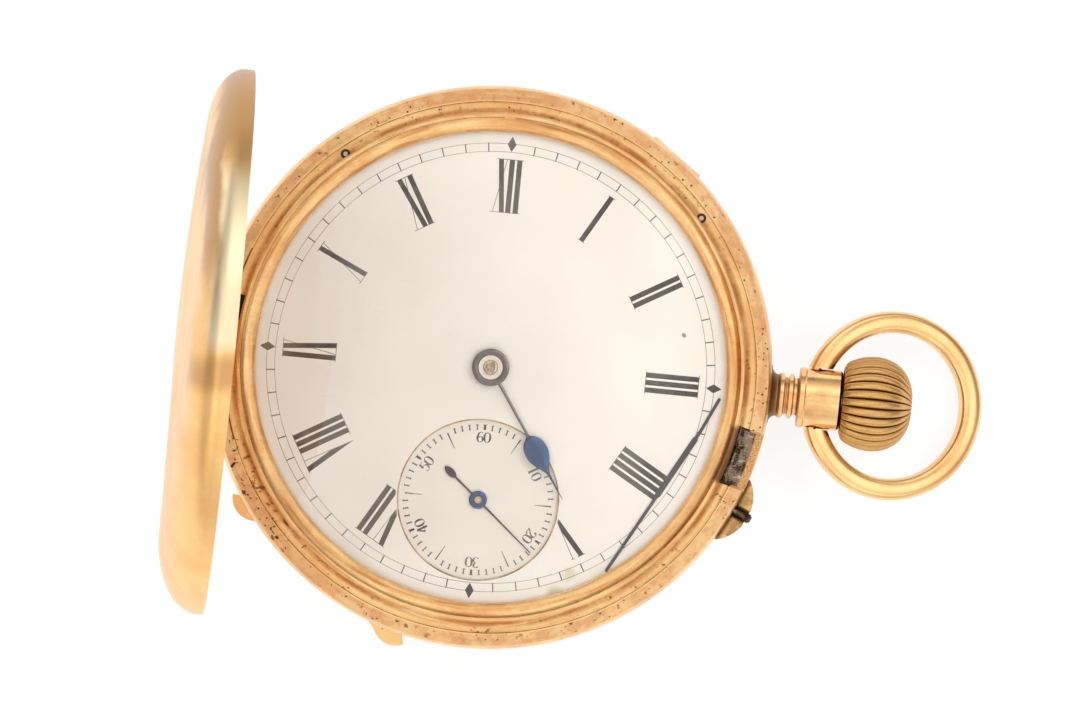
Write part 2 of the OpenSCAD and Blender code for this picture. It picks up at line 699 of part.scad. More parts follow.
module back_cover() {
    color("gold") difference() {
        union() {
            translate([0, 0, back_h]) mirror([0, 0, 1]) rotate_extrude()
                polygon(lid_section(back_r, back_h, 0.8, 3, 0.6, back_flat_r, back_t));
            rotate(back_hinge_a) {
                bar_y(back_hinge_x, back_hinge_z, back_knuckle_r, -back_knuckle_len / 2, back_knuckle_len / 2);
                box_between([back_r - back_t / 2, -back_knuckle_len / 2, back_hinge_z - back_knuckle_r],
                    [back_hinge_x, back_knuckle_len / 2, back_h - 0.03]);
            }
            rotate(back_lip_a) difference() {
                thumb_lip(back_r, band_r + lip_reach, back_h - 0.7, back_h - 0.04);
                disc(back_r - 0.2, -1, back_h + 1);
            }
        }
        back_hinge_hole(run_gap);
    }
}

module back_hinge_pin() {
    color("gray") rotate(back_hinge_a)
        bar_y(back_hinge_x, back_hinge_z, hinge_pin_r, -back_hinge_half, back_hinge_half);
}

module dust_cover() {
    color("khaki") difference() {
        union() {
            translate([0, 0, dust_rim_z]) mirror([0, 0, 1]) rotate_extrude()
                polygon(lid_section(dust_r, dust_h, 0.3, 1.6, 0.5, 0, dust_t));
            rotate(back_hinge_a) {
                bar_y(dust_hinge_x, dust_hinge_z, dust_knuckle_r, -dust_len / 2, dust_len / 2);
                box_between([dust_r - dust_t / 2, -dust_len / 2, dust_hinge_z - dust_knuckle_r],
                    [dust_hinge_x, dust_len / 2, dust_hinge_z - 0.05]);
            }
            rotate(dust_lip_a) mirror([0, 1, 0]) difference() {
                thumb_lip(dust_r, band_r + lip_reach - 0.3, band_z0, dust_rim_z);
                disc(dust_r - 0.2, -1, dust_rim_z + 1);
            }
        }
        dust_hinge_hole(run_gap);
    }
}

module dust_hinge_pin() {
    color("gray") rotate(back_hinge_a)
        bar_y(dust_hinge_x, dust_hinge_z, hinge_pin_r, -dust_hinge_half, dust_hinge_half);
}

// Springs in the channel of the band
module lock_spring() {
    r0 = spring_r - spring_t / 2;
    r1 = spring_r + spring_t / 2;
    color("dimgray") difference() {
        union() {
            arc_strip(r0, r1, catch_a - 6, lock_pivot_a + 2, spring_z0, spring_z1);
            rotate(catch_a) {
                box_between([catch_x0, -catch_len / 2, catch_z0], [catch_x1, catch_len / 2, catch_z1]);
                box_between([r0, -catch_len / 2 + 0.4, spring_z1 - 1],
                    [catch_x0 + 0.6, catch_len / 2 - 0.4, catch_z0 + 0.1]);
                box_between([cover_r - cover_t - 0.27, -1.5, seat_z - 0.3],
                    [cover_r - cover_t - 0.1, 1.5, rim_z + 0.1]);
            }
        }
        bar_x(spring_r - 2, spring_r + 2, stem_r + 0.45, stem_z);
        rotate(nail_a) bar_x(spring_r - 2, spring_r + 2, nail_r + 0.4, nail_z);
        rotate(lock_pivot_a) bar_x(spring_r - 2, spring_r + 2, 0.35, (spring_z0 + spring_z1) / 2, small_fn);
    }
}

module fly_spring() {
    r0 = spring_r - spring_t / 2;
    r1 = spring_r + spring_t / 2;
    color("dimgray") difference() {
        union() {
            arc_strip(r0, r1, fly_pivot_a - 2, 180 - 5, spring_z0, spring_z1);
            rotate(180) box_between([r0 + 0.25, -spring_window[1] + 0.3, spring_z1 - 0.8],
                [r1 + 0.12, -spring_window[0] - 0.3, seat_z - 0.1]);
        }
        rotate(fly_pivot_a) bar_x(spring_r - 2, spring_r + 2, 0.35, (spring_z0 + spring_z1) / 2, small_fn);
    }
}

// Screws that hold the springs to the band's wall
module spring_screws() {
    z = (spring_z0 + spring_z1) / 2;
    color("slategray") for (a = [lock_pivot_a, fly_pivot_a]) rotate(a) difference() {
        union() {
            bar_x(spring_r - spring_t / 2 - 0.1, channel_r - 0.01, 0.32, z, small_fn);
            bar_x(spring_r - spring_t / 2 - 0.45, spring_r - spring_t / 2 - 0.02, 0.75, z, small_fn);
        }
        box_between([spring_r - 2, -0.1, z - 1], [spring_r - spring_t / 2 - 0.3, 0.1, z + 1]);
    }
}

module nail_set_guard() {
    color("goldenrod") rotate(nail_a) difference() {
        translate([0, 0, nail_z]) intersection() {
            disc(guard_r, -guard_h / 2, guard_h / 2, [band_r + guard_bulge - guard_r, 0]);
            translate([band_r - 1.2, 0, 0]) rotate([0, 90, 0]) cylinder(r = guard_chord / 2 + 0.05, h = 6);
        }
        rotate_extrude() polygon(concat([[0, band_z0]], band_side, [[0, rim_z]]));
        box_between([band_r - 2, -guard_slot / 2, nail_z - 0.7], [band_r + 3, guard_slot / 2, nail_z + 3]);
    }
}

module nail_set_pin() {
    color("dimgray") rotate(nail_a) {
        bar_x(nail_x0, nail_x1 - 0.15, nail_r, nail_z, 48);
        bar_x(nail_x1 - 0.15, nail_x1, nail_r - 0.12, nail_z, 48);
        bar_x(channel_r - nail_travel - 0.75, channel_r - nail_travel - 0.35, nail_r + 0.3, nail_z, 48);
    }
}

// Crown: a flattened ball with flutes that run together at its outer end
crown_ball = [[0, 0.715, 0], [0.03, 0.8, 0.6], [0.12, 0.89, 1], [0.25, 0.965, 1], [0.4, 0.998, 1],
    [0.5, 0.998, 1], [0.62, 0.965, 1], [0.74, 0.89, 1], [0.84, 0.77, 0.9], [0.92, 0.61, 0.75],
    [0.97, 0.46, 0.5], [1, 0.3, 0]];

crown_rings = concat([[crown_recess, 0.12, 0], [crown_recess, collar_r + 0.1, 0], [0, collar_r + 0.1, 0]],
    [for (p = crown_ball) [p[0] * crown_len, p[1] * crown_r, p[2] * flute_depth]]);

function crown_point(ring, i, per) =
    let (wave = abs(sin(i * 180 / per)), a = i * 360 / (per * crown_flutes))
    [crown_x + ring[0], (ring[1] - ring[2] * (1 - wave)) * cos(a), (ring[1] - ring[2] * (1 - wave)) * sin(a)];

module crown() {
    per = 4;
    n = per * crown_flutes;
    m = len(crown_rings);
    points = concat([for (k = [0:m - 1]) for (i = [0:n - 1]) crown_point(crown_rings[k], i, per)],
        [[crown_x + crown_recess, 0, 0], [crown_x + crown_len, 0, 0]]);
    faces = concat(
        [for (k = [0:m - 2]) for (i = [0:n - 1])
            each [[k * n + i, k * n + (i + 1) % n, (k + 1) * n + (i + 1) % n],
                [k * n + i, (k + 1) * n + (i + 1) % n, (k + 1) * n + i]]],
        [for (i = [0:n - 1]) [m * n, (i + 1) % n, i]],
        [for (i = [0:n - 1]) [m * n + 1, (m - 1) * n + i, (m - 1) * n + (i + 1) % n]]);
    color("darkkhaki") translate([0, 0, stem_z]) polyhedron(points, [for (f = faces) [f[0], f[2], f[1]]]);
}

module stem() {
    color("silver") {
        bar_x(square_x[1], stem_x1, stem_r, stem_z);
        bar_x(square_x[0] - 0.5, square_x[0], stem_r * 0.6, stem_z, small_fn);
        box_between([square_x[0], -square_w / 2, stem_z - square_w / 2],
            [square_x[1], square_w / 2, stem_z + square_w / 2]);
        bar_x(spring_r + spring_t / 2 + push_travel - 0.12, spring_r + spring_t / 2 + push_travel + 0.2, 1.25, stem_z);
    }
}

// Keyless work
module winding_pinion() {
    color("silver") difference() {
        translate([pinion_x0, 0, stem_z]) rotate([0, 90, 0]) linear_extrude(pinion_len)
            polygon(teeth(16, 0.215, wheel_add, wheel_ded, 0.56, 0.2, 0));
        bar_x(pinion_x0 - 1, pinion_x0 + 4, stem_r + run_gap + 0.02, stem_z);
        for (i = [0:3]) translate([pinion_x0 - 0.01, 0, stem_z]) rotate([45 * i, 0, 0])
            box_between([0, -3, -0.12], [0.25, 3, 0.12]);
    }
}

module clutch() {
    hole = square_w / 2 + 0.04;
    color("silver") difference() {
        bar_x(clutch_x[0], clutch_x[1], clutch_r, stem_z);
        box_between([clutch_x[0] - 1, -hole, stem_z - hole], [clutch_x[1] + 1, hole, stem_z + hole]);
        translate([0, 0, stem_z]) rotate([0, 90, 0]) rotate_extrude() translate([clutch_r - 0.35, groove_x[0]])
            square([2, groove_x[1] - groove_x[0]]);
        for (i = [0:3]) for (x = [clutch_x[0], clutch_x[1]]) translate([x, 0, stem_z]) rotate([45 * i, 0, 0])
            box_between([-0.25, -3, -0.12], [0.25, 3, 0.12]);
    }
}

// A slide on the main plate whose fork stands in the clutch's groove
module clutch_yoke() {
    x0 = groove_x[0] + 0.08;
    x1 = groove_x[1] - 0.08;
    inner = clutch_r - 0.35 + 0.08;
    top = plate_z1 - 0.45;
    color("slategray") {
        difference() {
            box_between([x0, -1.9, stem_z - 0.1], [x1, 1.9, top]);
            box_between([x0 - 1, -inner, stem_z - 1], [x1 + 1, inner, top - 0.2]);
        }
        box_between([x0, -1.9, top - 0.2], [x1 + 0.3, 1.9, top]);
    }
}

lever_pivot = polar(plate_r - 2.56, 42.3);
lever_knee = [groove_x[0] + 0.05, -2.3];
lever_tip = polar(nail_x0 - 0.5, nail_a);

module setting_lever() {
    color("slategray") {
        link(lever_pivot, lever_knee, 1.1, plate_z1 - 0.4, plate_z1 - 0.1);
        link(lever_knee, lever_tip, 1.1, plate_z1 - 0.4, plate_z1 - 0.1);
        disc(0.45, plate_z1 - 0.8, plate_z1 - 0.35, lever_pivot, small_fn);
        disc(0.45, nail_z - 0.3, plate_z1 - 0.35, lever_tip, small_fn);
    }
}

module crown_wheel() {
    color("silver") difference() {
        gear_disc(crown_wheel_n, wind_m, turn_of(barrel_at - crown_wheel_at), wind_z[0], wind_z[1], crown_wheel_at);
        disc(1.2 + run_gap, wind_z[0] - 1, wind_z[1] + 1, crown_wheel_at, 48);
        disc(2.0, wind_z[0] - 1, wind_z[0] + 0.25, crown_wheel_at, 48);
    }
}

module crown_wheel_screw() {
    color("slategray") difference() {
        union() {
            disc(1.2, wind_z[0] + 0.24, wind_z[1] + 0.05, crown_wheel_at, 48);
            disc(1.85, wind_z[0] - 0.02, wind_z[0] + 0.2, crown_wheel_at, 48);
            disc(1.2, wind_z[0], wind_z[1], crown_wheel_at, 48);
        }
        translate([crown_wheel_at[0], 0, 0]) box_between([-3, -0.18, wind_z[0] - 1], [3, 0.18, wind_z[0] + 0.1]);
    }
}

module ratchet_wheel() {
    color("silver") difference() {
        gear_disc(ratchet_n, wind_m, turn_of(crown_wheel_at - barrel_at) + 180 / ratchet_n, wind_z[0], wind_z[1], barrel_at);
        translate([barrel_at[0], barrel_at[1], 0]) box_between([-0.7, -0.7, -far], [0.7, 0.7, far]);
        disc(2.2, wind_z[0] - 1, wind_z[0] + 0.25, barrel_at, 48);
    }
}

click_a = 78;
ratchet_tip_r = wind_m * (ratchet_n / 2 + wheel_add);
click_tip = barrel_at + polar(ratchet_tip_r + 0.12, click_a);
click_at = barrel_at + polar(ratchet_tip_r + 1.5, click_a - 26);

module click() {
    color("slategray") difference() {
        union() {
            disc(0.95, wind_z[0], wind_z[1], click_at, 48);
            intersection() {
                link(click_at, click_tip, 1.2, wind_z[0], wind_z[1]);
                difference() {
                    disc(ratchet_tip_r + 3, wind_z[0] - 1, wind_z[1] + 1, barrel_at);
                    disc(ratchet_tip_r + 0.07, wind_z[0] - 2, wind_z[1] + 2, barrel_at);
                }
            }
        }
        disc(0.4 + run_gap, wind_z[0] - 1, wind_z[1] + 1, click_at, small_fn);
    }
}

click_spring_at = barrel_at + polar(ratchet_tip_r + 2.4, click_a + 22);

module click_spring() {
    side = click_at + polar(1.25, click_a + 75);
    color("slategray") difference() {
        union() {
            disc(0.7, wind_z[0] + 0.05, wind_z[1] + 0.05, click_spring_at, 32);
            link(click_spring_at, side + polar(1.2, click_a + 60), 0.22, wind_z[0] + 0.1, wind_z[1]);
        }
        disc(0.3, wind_z[0] - 1, wind_z[1] + 1, click_spring_at, small_fn);
    }
}

// Plates
pillars = [for (a = [85, -37, 145.5, -66]) polar(plate_r - 1.8, a)];
foot_holes = [for (a = [66, 165, 325]) polar(plate_r - 3.2, a)];

module main_plate() {
    color("gold") difference() {
        union() {
            disc(plate_r, plate_z0, plate_z1);
            disc(dial_r - 0.03, ledge_z + 0.01, plate_z1);
            for (p = pillars) disc(1.25, top_z1, plate_z0 + eps, p, 48);
        }
        disc(barrel_r + 0.45, plate_z0 - 1, barrel_z1 + 0.1, barrel_at);
        disc(4.2, motion_z0 - 0.1, plate_z1 + 1);
        disc(motion_m * minute_n / 2 + 0.5, motion_z0 - 0.1, plate_z1 + 1, minute_at);
        disc(motion_m * inter_n / 2 + 0.4, motion_z0 - 0.1, plate_z1 + 1, inter_at);
        disc(motion_m * setting_n / 2 + 0.4, motion_z0 - 0.1, plate_z1 + 1, setting_at);
        keyless_slot();
        lever_recess();
        disc(seconds_r + 0.55, plate_z1 - 0.4, plate_z1 + 1, fourth_at);
        disc(0.6, 0, far, centre_at, 48);
        disc(0.42, plate_z0 - 1, far, fourth_at, 48);
        for (p = [third_at, escape_at, pallet_at, balance_at])
            disc(jewel_r, plate_z0 - 1, plate_z0 + jewel_t, p, 48);
        disc(0.8 + run_gap, plate_z0 - 1, far, barrel_at, 48);
        disc(0.35, plate_z0 - 1, plate_z1 - 0.2, cock_foot_at, small_fn);
        disc(0.35, plate_z0 - 1, plate_z1 - 0.2, escape_foot_at, small_fn);
        for (p = pillars) disc(0.35, top_z1 - 1, plate_z0 + 1, p, small_fn);
        for (p = foot_holes) disc(0.5, plate_z0 - 1, far, p, 32);
        for (p = [minute_at, inter_at, setting_at]) disc(0.25, motion_z0 - 0.15, far, p, small_fn);
    }
}

// Room for the clutch, the winding pinion and the yoke in the edge of the main plate
module keyless_slot() {
    box_between([square_x[0] - push_travel - 0.7, -clutch_r - 0.2, plate_z0 - 1],
        [pinion_x0, clutch_r + 0.2, plate_z1 - 0.7]);
    box_between([pinion_x0 - 0.15, -pinion_r - 0.35, plate_z0 - 1],
        [pinion_x0 + pinion_len + 0.1, pinion_r + 0.35, plate_z1 - 0.08]);
    bar_x(pinion_x0, plate_r + 1, stem_r + 0.1, stem_z);
    box_between([pinion_x0, -stem_r - 0.1, plate_z0 - 1], [plate_r + 1, stem_r + 0.1, stem_z]);
    box_between([groove_x[0] - 1.6, -2.1, plate_z0 - 1], [groove_x[1] + 0.5, 2.1, plate_z1 + 1]);
}

module lever_recess() {
    for (s = [0, 1]) let (shift = [-s * 1.1, 0]) {
        link(lever_pivot + shift * 0.1, lever_knee + shift, 1.7, plate_z1 - 0.5, plate_z1 + 1);
        link(lever_knee + shift, lever_tip + shift, 1.7, plate_z1 - 0.5, plate_z1 + 1);
    }
    disc(0.45 + run_gap, plate_z1 - 0.95, plate_z1, lever_pivot, small_fn);
    rotate(nail_a) box_between([nail_x0 - 2.1, -1.3, nail_z - 0.6], [plate_r + 1, 0.7, plate_z1 + 1]);
}

module top_plate() {
    color("gold") difference() {
        disc(plate_r, top_z0, top_z1);
        disc(balance_r + 0.5, top_z0 - 1, top_z1 + 1, balance_at);
        translate([0, 0, top_z0 - 1]) linear_extrude(top_t + 2) cock_window();
        disc(crown_wheel_r + 0.35, top_z0 - 1, wind_z[1] + 0.05, crown_wheel_at);
        disc(ratchet_tip_r + 0.25, top_z0 - 1, wind_z[1] + 0.05, barrel_at);
        disc(0.9 + run_gap, top_z0 - 1, top_z1 + 1, barrel_at, 48);
        link(click_at, click_tip, 2.9, top_z0 - 1, wind_z[1] + 0.05);
        link(click_spring_at, click_at, 2.5, top_z0 - 1, wind_z[1] + 0.05);
        box_between([pinion_x0 - 0.15, -pinion_r - 0.3, top_z0 - 1], [plate_r + 1, pinion_r + 0.3, top_z1 + 1]);
        for (p = [third_at, fourth_at, centre_at]) {
            disc(jewel_r, top_z1 - jewel_t, top_z1 + 1, p, 48);
            disc(0.4, top_z0 - 1, top_z1, p, 32);
            disc(1, top_z0 - 1, top_z0 + 0.2, p, 48);
        }
        for (p = pillars) {
            disc(0.6, top_z0 - 1, top_z1 + 1, p, 32);
            disc(1.05, top_z0 - 1, top_z0 + 0.45, p, 32);
        }
        rotate(nail_a) box_between([nail_x0 - 1.8, -0.8, top_z0 - 1], [plate_r + 1, 0.8, top_z1 + 1]);
        disc(0.3, top_z0 - 1, top_z1 + 1, click_at, small_fn);
        disc(0.25, top_z0 - 1, top_z1 + 1, click_spring_at, small_fn);
    }
}

// Cut-out of the three-quarter plate round the two cocks
module cock_window() {
    translate(cock_foot_at) circle(2.4, $fn = 48);
    translate(balance_at) rotate(turn_of(cock_foot_at - balance_at)) translate([0, -2.4])
        square([norm(cock_foot_at - balance_at), 4.8]);
    translate(escape_at) circle(escape_r + 0.4, $fn = 48);
    translate(pallet_at) circle(2.4, $fn = 48);
    translate(escape_foot_at) circle(1.7, $fn = 48);
    translate(escape_at) rotate(turn_of(escape_foot_at - escape_at)) translate([0, -1.7]) square([4, 3.4]);
    translate(pallet_at) rotate(turn_of(escape_foot_at - pallet_at)) translate([0, -1.7]) square([4.4, 3.4]);
}

// A cheese-headed screw with its head at z0, pointing up
module screw(at, z0, head_r, head_h, shank_r, len) {
    difference() {
        union() {
            disc(head_r, z0, z0 + head_h, at, 32);
            disc(shank_r, z0 + head_h, z0 + len, at, small_fn);
        }
        translate([at[0], at[1], 0]) rotate(at[0] * 40)
            box_between([-head_r - 1, -head_r * 0.15, z0 - 1], [head_r + 1, head_r * 0.15, z0 + head_h * 0.45]);
    }
}

module plate_screws() {
    color("steelblue") for (p = pillars) screw(p, top_z0 - 0.02, 1, 0.45, 0.34, top_t + 1.2);
}

module cock_screws() {
    color("steelblue") {
        screw(cock_foot_at, cock_z[0], 0.95, 0.3, 0.34, 3.9);
        screw(escape_foot_at, top_z0, 0.8, 0.3, 0.34, 3.4);
    }
}

module balance_cock() {
    d = cock_foot_at - balance_at;
    color("gold") difference() {
        union() {
            link(balance_at, cock_foot_at, 2.6, cock_z[0], cock_z[1]);
            disc(2.1, cock_z[0], cock_z[1], balance_at, 64);
            disc(1.85, cock_z[0], plate_z0, cock_foot_at, 64);
        }
        disc(0.36, cock_z[0] - 1, plate_z0 + 1, cock_foot_at, small_fn);
        disc(1, cock_z[0] - 1, cock_z[0] + 0.32, cock_foot_at, 32);
        disc(jewel_r, cock_z[1] - jewel_t, cock_z[1] + 1, balance_at, 48);
        disc(0.35, cock_z[0] - 1, cock_z[1], balance_at, 32);
    }
}

module escapement_cock() {
    color("gold") difference() {
        union() {
            link(escape_at, escape_foot_at, 2.2, top_z0, top_z1 - 0.1);
            link(pallet_at, escape_foot_at, 2.2, top_z0, top_z1 - 0.1);
            disc(1.15, top_z0, plate_z0, escape_foot_at, 48);
        }
        disc(0.36, top_z0 - 1, plate_z0 + 1, escape_foot_at, small_fn);
        disc(0.85, top_z0 - 1, top_z0 + 0.32, escape_foot_at, 32);
        for (p = [escape_at, pallet_at]) {
            disc(jewel_r, top_z1 - 0.1 - jewel_t, top_z1 + 1, p, 48);
            disc(0.35, top_z0 - 1, top_z1, p, 32);
        }
    }
}

// Jewels: ruby rings pressed into the plates and cocks
module jewel(at, z0) {
    difference() {
        disc(jewel_r, z0, z0 + jewel_t, at, 48);
        disc(pivot_r + run_gap, z0 - 1, z0 + 2, at, small_fn);
    }
}

module plate_jewels() {
    color("crimson") {
        for (p = [third_at, escape_at, pallet_at, balance_at]) jewel(p, plate_z0);
        for (p = [third_at, fourth_at, centre_at]) jewel(p, top_z1 - jewel_t);
        for (p = [escape_at, pallet_at]) jewel(p, top_z1 - 0.1 - jewel_t);
        jewel(balance_at, cock_z[1] - jewel_t);
    }
}

// Mainspring barrel: toothed drum with a lid, turning on its arbor
module barrel() {
    color("gold") difference() {
        union() {
            gear_disc(barrel_n, barrel_m, 180 + turn_of(barrel_at), barrel_z0, barrel_z0 + 0.45, barrel_at);
            disc(barrel_r - 0.55, barrel_z0, barrel_z1, barrel_at);
        }
        disc(barrel_r - 0.9, barrel_z0 + 0.25, barrel_z1 + 1, barrel_at);
        disc(1 + run_gap, barrel_z0 - 1, barrel_z1, barrel_at, 48);
    }
}

module barrel_cover() {
    color("gold") difference() {
        disc(barrel_r - 0.9, barrel_z1 - 0.25, barrel_z1, barrel_at);
        disc(1 + run_gap, barrel_z0, barrel_z1 + 1, barrel_at, 48);
    }
}

module barrel_arbor() {
    color("silver") {
        disc(2.2, barrel_z0 + 0.35, barrel_z1 - 0.35, barrel_at, 48);
        disc(1, barrel_z0 - 0.15, barrel_z1 + 0.04, barrel_at, 48);
        disc(0.9, top_z0 + 0.5, barrel_z0, barrel_at, 48);
        translate([barrel_at[0], barrel_at[1], 0])
            box_between([-0.68, -0.68, wind_z[0] + 0.2], [0.68, 0.68, top_z0 + 0.6]);
        disc(0.8, barrel_z1, motion_z0 + 0.6, barrel_at, 48);
        difference() {
            disc(2.1, wind_z[0] - 0.05, wind_z[0] + 0.24, barrel_at, 48);
            translate([barrel_at[0], barrel_at[1], 0])
                box_between([-3, -0.2, wind_z[0] - 1], [3, 0.2, wind_z[0] + 0.08]);
        }
    }
}

module mainspring() {
    turns = 6;
    t = 0.22;
    pitch = (barrel_r - 0.9 - 2.2 - 0.5) / (turns + 0.5);
    color("steelblue") translate([barrel_at[0], barrel_at[1], 0])
        spiral_strip(2.2 + 0.25 + t / 2, pitch, turns, t, barrel_z0 + 0.35, barrel_z1 - 0.35);
}

// Going train, each wheel with its pinion and arbor
module centre_wheel() {
    color("gold") {
        crossed_wheel(centre_n, centre_m, turn_of(third_at), centre_z[0], centre_z[1], centre_at, 0.7, 1.1, 4);
        pinion(leaf_n, barrel_m, turn_of(barrel_at) + 180 / leaf_n, centre_z[1], barrel_z0 + 0.75, centre_at);
        disc(0.35, centre_z[0] - 0.1, hand_top_z - 0.2, centre_at, 32);
        disc(pivot_r, top_z1 - jewel_t, centre_z[0], centre_at, 24);
        disc(0.57, barrel_z0 + 0.7, motion_z0 - 0.05, centre_at, 48);
    }
}

module third_wheel() {
    color("gold") {
        crossed_wheel(third_n, third_m, turn_of(fourth_at - third_at), third_z[0], third_z[1], third_at, 0.6, 0.8, 4);
        pinion(leaf_n, centre_m, turn_of(third_at) + 180 + 180 / leaf_n, centre_z[0] - 0.05, centre_z[1] + 0.1, third_at);
        arbor(third_at, top_z1 - jewel_t, plate_z0 + jewel_t);
    }
}

module fourth_wheel() {
    color("gold") {
        crossed_wheel(fourth_n, fourth_m, turn_of(escape_at - fourth_at), fourth_z[0], fourth_z[1], fourth_at, 0.5, 0.7, 4);
        pinion(leaf_n, third_m, turn_of(third_at - fourth_at) + 180 / leaf_n, third_z[0] - 0.1, third_z[1] + 0.15, fourth_at);
        disc(arbor_r, top_z1 + 0.05, sub_z1 - 0.1, fourth_at, 32);
        disc(pivot_r, top_z1 - jewel_t, top_z1 + 0.1, fourth_at, 24);
        disc(0.2, sub_z1 - 0.2, sub_z1 + 0.38, fourth_at, 24);
    }
}

// Club-toothed escape wheel on its pinion
function escape_teeth() =
    [for (i = [0:escape_n - 1]) let (a = i * 360 / escape_n)
        each [polar(escape_r - 0.75, a - 4), polar(escape_r - 0.1, a + 4), polar(escape_r, a + 6.5),
            polar(escape_r - 0.08, a + 9), polar(escape_r - 0.75, a + 6)]];

module escape_wheel() {
    color("silver") {
        translate([escape_at[0], escape_at[1], escape_z[0]]) linear_extrude(escape_z[1] - escape_z[0]) {
            difference() {
                polygon(escape_teeth());
                circle(escape_r - 1.15, $fn = 48);
            }
            circle(0.5, $fn = 32);
            for (i = [0:3]) rotate(90 * i) translate([0, -0.15]) square([escape_r - 1, 0.3]);
        }
        pinion(escape_leaf_n, fourth_m, turn_of(fourth_at - escape_at) + 180 / escape_leaf_n,
            fourth_z[0] - 0.05, fourth_z[1] + 0.1, escape_at);
        arbor(escape_at, top_z1 - 0.1 - jewel_t, plate_z0 + jewel_t, 0.22);
    }
}

// Pallet fork: two stones over the escape wheel and a lever to the balance
module pallet_fork() {
    dir = turn_of(balance_at - pallet_at);
    reach = norm(balance_at - pallet_at) - 1.15;
    stone_r = escape_r + 0.17;
    color("silver") {
        translate([pallet_at[0], pallet_at[1], escape_z[0]]) rotate(dir) linear_extrude(escape_z[1] - escape_z[0]) {
            difference() {
                union() {
                    for (s = [-1, 1]) polygon([[-0.3, s * 0.2], [0.4, s * 0.2], [-0.35, s * 2.1], [-1.05, s * 2.0]]);
                    translate([0, -0.19]) square([reach - 0.5, 0.38]);
                    circle(0.6, $fn = 32);
                    translate([reach - 0.9, -0.5]) square([0.9, 1]);
                }
                translate([-3, 0]) circle(stone_r, $fn = 64);
                translate([reach - 0.45, -0.2]) square([1, 0.4]);
            }
        }
        arbor(pallet_at, top_z1 - 0.1 - jewel_t, plate_z0 + jewel_t, 0.2);
    }
}

// Cut balance with its timing screws, on its staff with roller and impulse pin
module balance_wheel() {
    rim_out = balance_r - 0.55;
    color("gold") {
        translate([balance_at[0], balance_at[1], balance_z[0]]) {
            linear_extrude(balance_z[1] - balance_z[0]) {
                difference() {
                    circle(rim_out);
                    circle(rim_out - 0.6);
                }
                rotate(30) translate([-rim_out + 0.3, -0.3]) square([2 * rim_out - 0.6, 0.6]);
                circle(0.8, $fn = 48);
            }
            for (i = [0:13]) rotate(i * 360 / 14 + 17) bar_x(rim_out - 0.2, balance_r, 0.2, 0.25, small_fn);
        }
        disc(0.3, cock_z[1] + 0.1, plate_z0 - 0.1, balance_at, 32);
        disc(pivot_r, cock_z[1] - jewel_t, plate_z0 + jewel_t, balance_at, 24);
        disc(1.0, plate_z0 - 0.85, plate_z0 - 0.65, balance_at, 48);
        disc(0.12, plate_z0 - 0.7, plate_z0 - 0.4, balance_at + polar(0.75, turn_of(pallet_at - balance_at)), 16);
    }
}

module hairspring() {
    color("steelblue") translate([balance_at[0], balance_at[1], 0])
        spiral_strip(hair_r0, hair_pitch, hair_turns, hair_t, cock_z[1] + 0.2, cock_z[1] + 0.4);
}

// Regulator: a split ring on the balance cock with a pointer
module regulator() {
    color("silver") difference() {
        union() {
            disc(1.5, cock_z[0] - 0.17, cock_z[0] - 0.02, balance_at, 48);
            link(balance_at, balance_at + polar(4.4, turn_of(cock_foot_at - balance_at) + 18), 0.35,
                cock_z[0] - 0.17, cock_z[0] - 0.02);
        }
        disc(0.85, cock_z[0] - 1, cock_z[0] + 1, balance_at, 48);
    }
}

// Motion work under the dial
module cannon_pinion() {
    color("silver") difference() {
        union() {
            pinion(cannon_n, motion_m, turn_of(minute_at) + 180 / cannon_n, motion_z0, motion_z0 + 0.35, centre_at);
            disc(cannon_r, motion_z0, hand_top_z, centre_at, 48);
        }
        disc(0.35, 0, far, centre_at, 32);
    }
}

module minute_wheel() {
    color("gold") {
        crossed_wheel(minute_n, motion_m, 180, motion_z0 + 0.05, motion_z0 + 0.3, minute_at, 0.6, 0.9, 3);
        pinion(minute_leaf_n, hour_m, 180 + 180 / minute_leaf_n, motion_z0 + 0.3, motion_z0 + 0.8, minute_at);
        disc(0.25 - run_gap, motion_z0 - 0.13, motion_z0 + 0.85, minute_at, small_fn);
    }
}

module hour_wheel() {
    color("gold") difference() {
        union() {
            gear_disc(hour_n, hour_m, 0, motion_z0 + 0.45, motion_z0 + 0.75, centre_at);
            disc(hour_pipe_r, motion_z0 + 0.5, hour_hand_z[1] + 0.1, centre_at, 48);
        }
        disc(cannon_r + run_gap, 0, far, centre_at, 48);
    }
}

module intermediate_wheel() {
    color("silver") {
        crossed_wheel(inter_n, motion_m, 180 / inter_n, motion_z0 + 0.05, motion_z0 + 0.3, inter_at, 0.5, 0.8, 3);
        disc(0.25 - run_gap, motion_z0 - 0.13, motion_z0 + 0.35, inter_at, small_fn);
    }
}

module setting_wheel() {
    color("silver") {
        gear_disc(setting_n, motion_m, 0, motion_z0 + 0.05, motion_z0 + 0.3, setting_at);
        disc(0.25 - run_gap, motion_z0 - 0.13, motion_z0 + 0.35, setting_at, small_fn);
    }
}

// Dials and hands
module dial() {
    color("ivory") {
        difference() {
            disc(dial_r, dial_z0, dial_z1);
            disc(hour_pipe_r + 0.2, 0, far);
            disc(seconds_r, 0, far, fourth_at);
        }
        for (p = foot_holes) disc(0.47, dial_z0 - 1.2, dial_z0 + eps, p, 32);
    }
}

module seconds_dial() {
    color("ivory") difference() {
        union() {
            disc(seconds_r + 0.5, dial_z0 - 0.35, dial_z0, fourth_at);
            disc(seconds_r - 0.02, dial_z0 - 0.1, sub_z1, fourth_at);
        }
        disc(arbor_r + 0.1, 0, far, fourth_at, 32);
    }
}

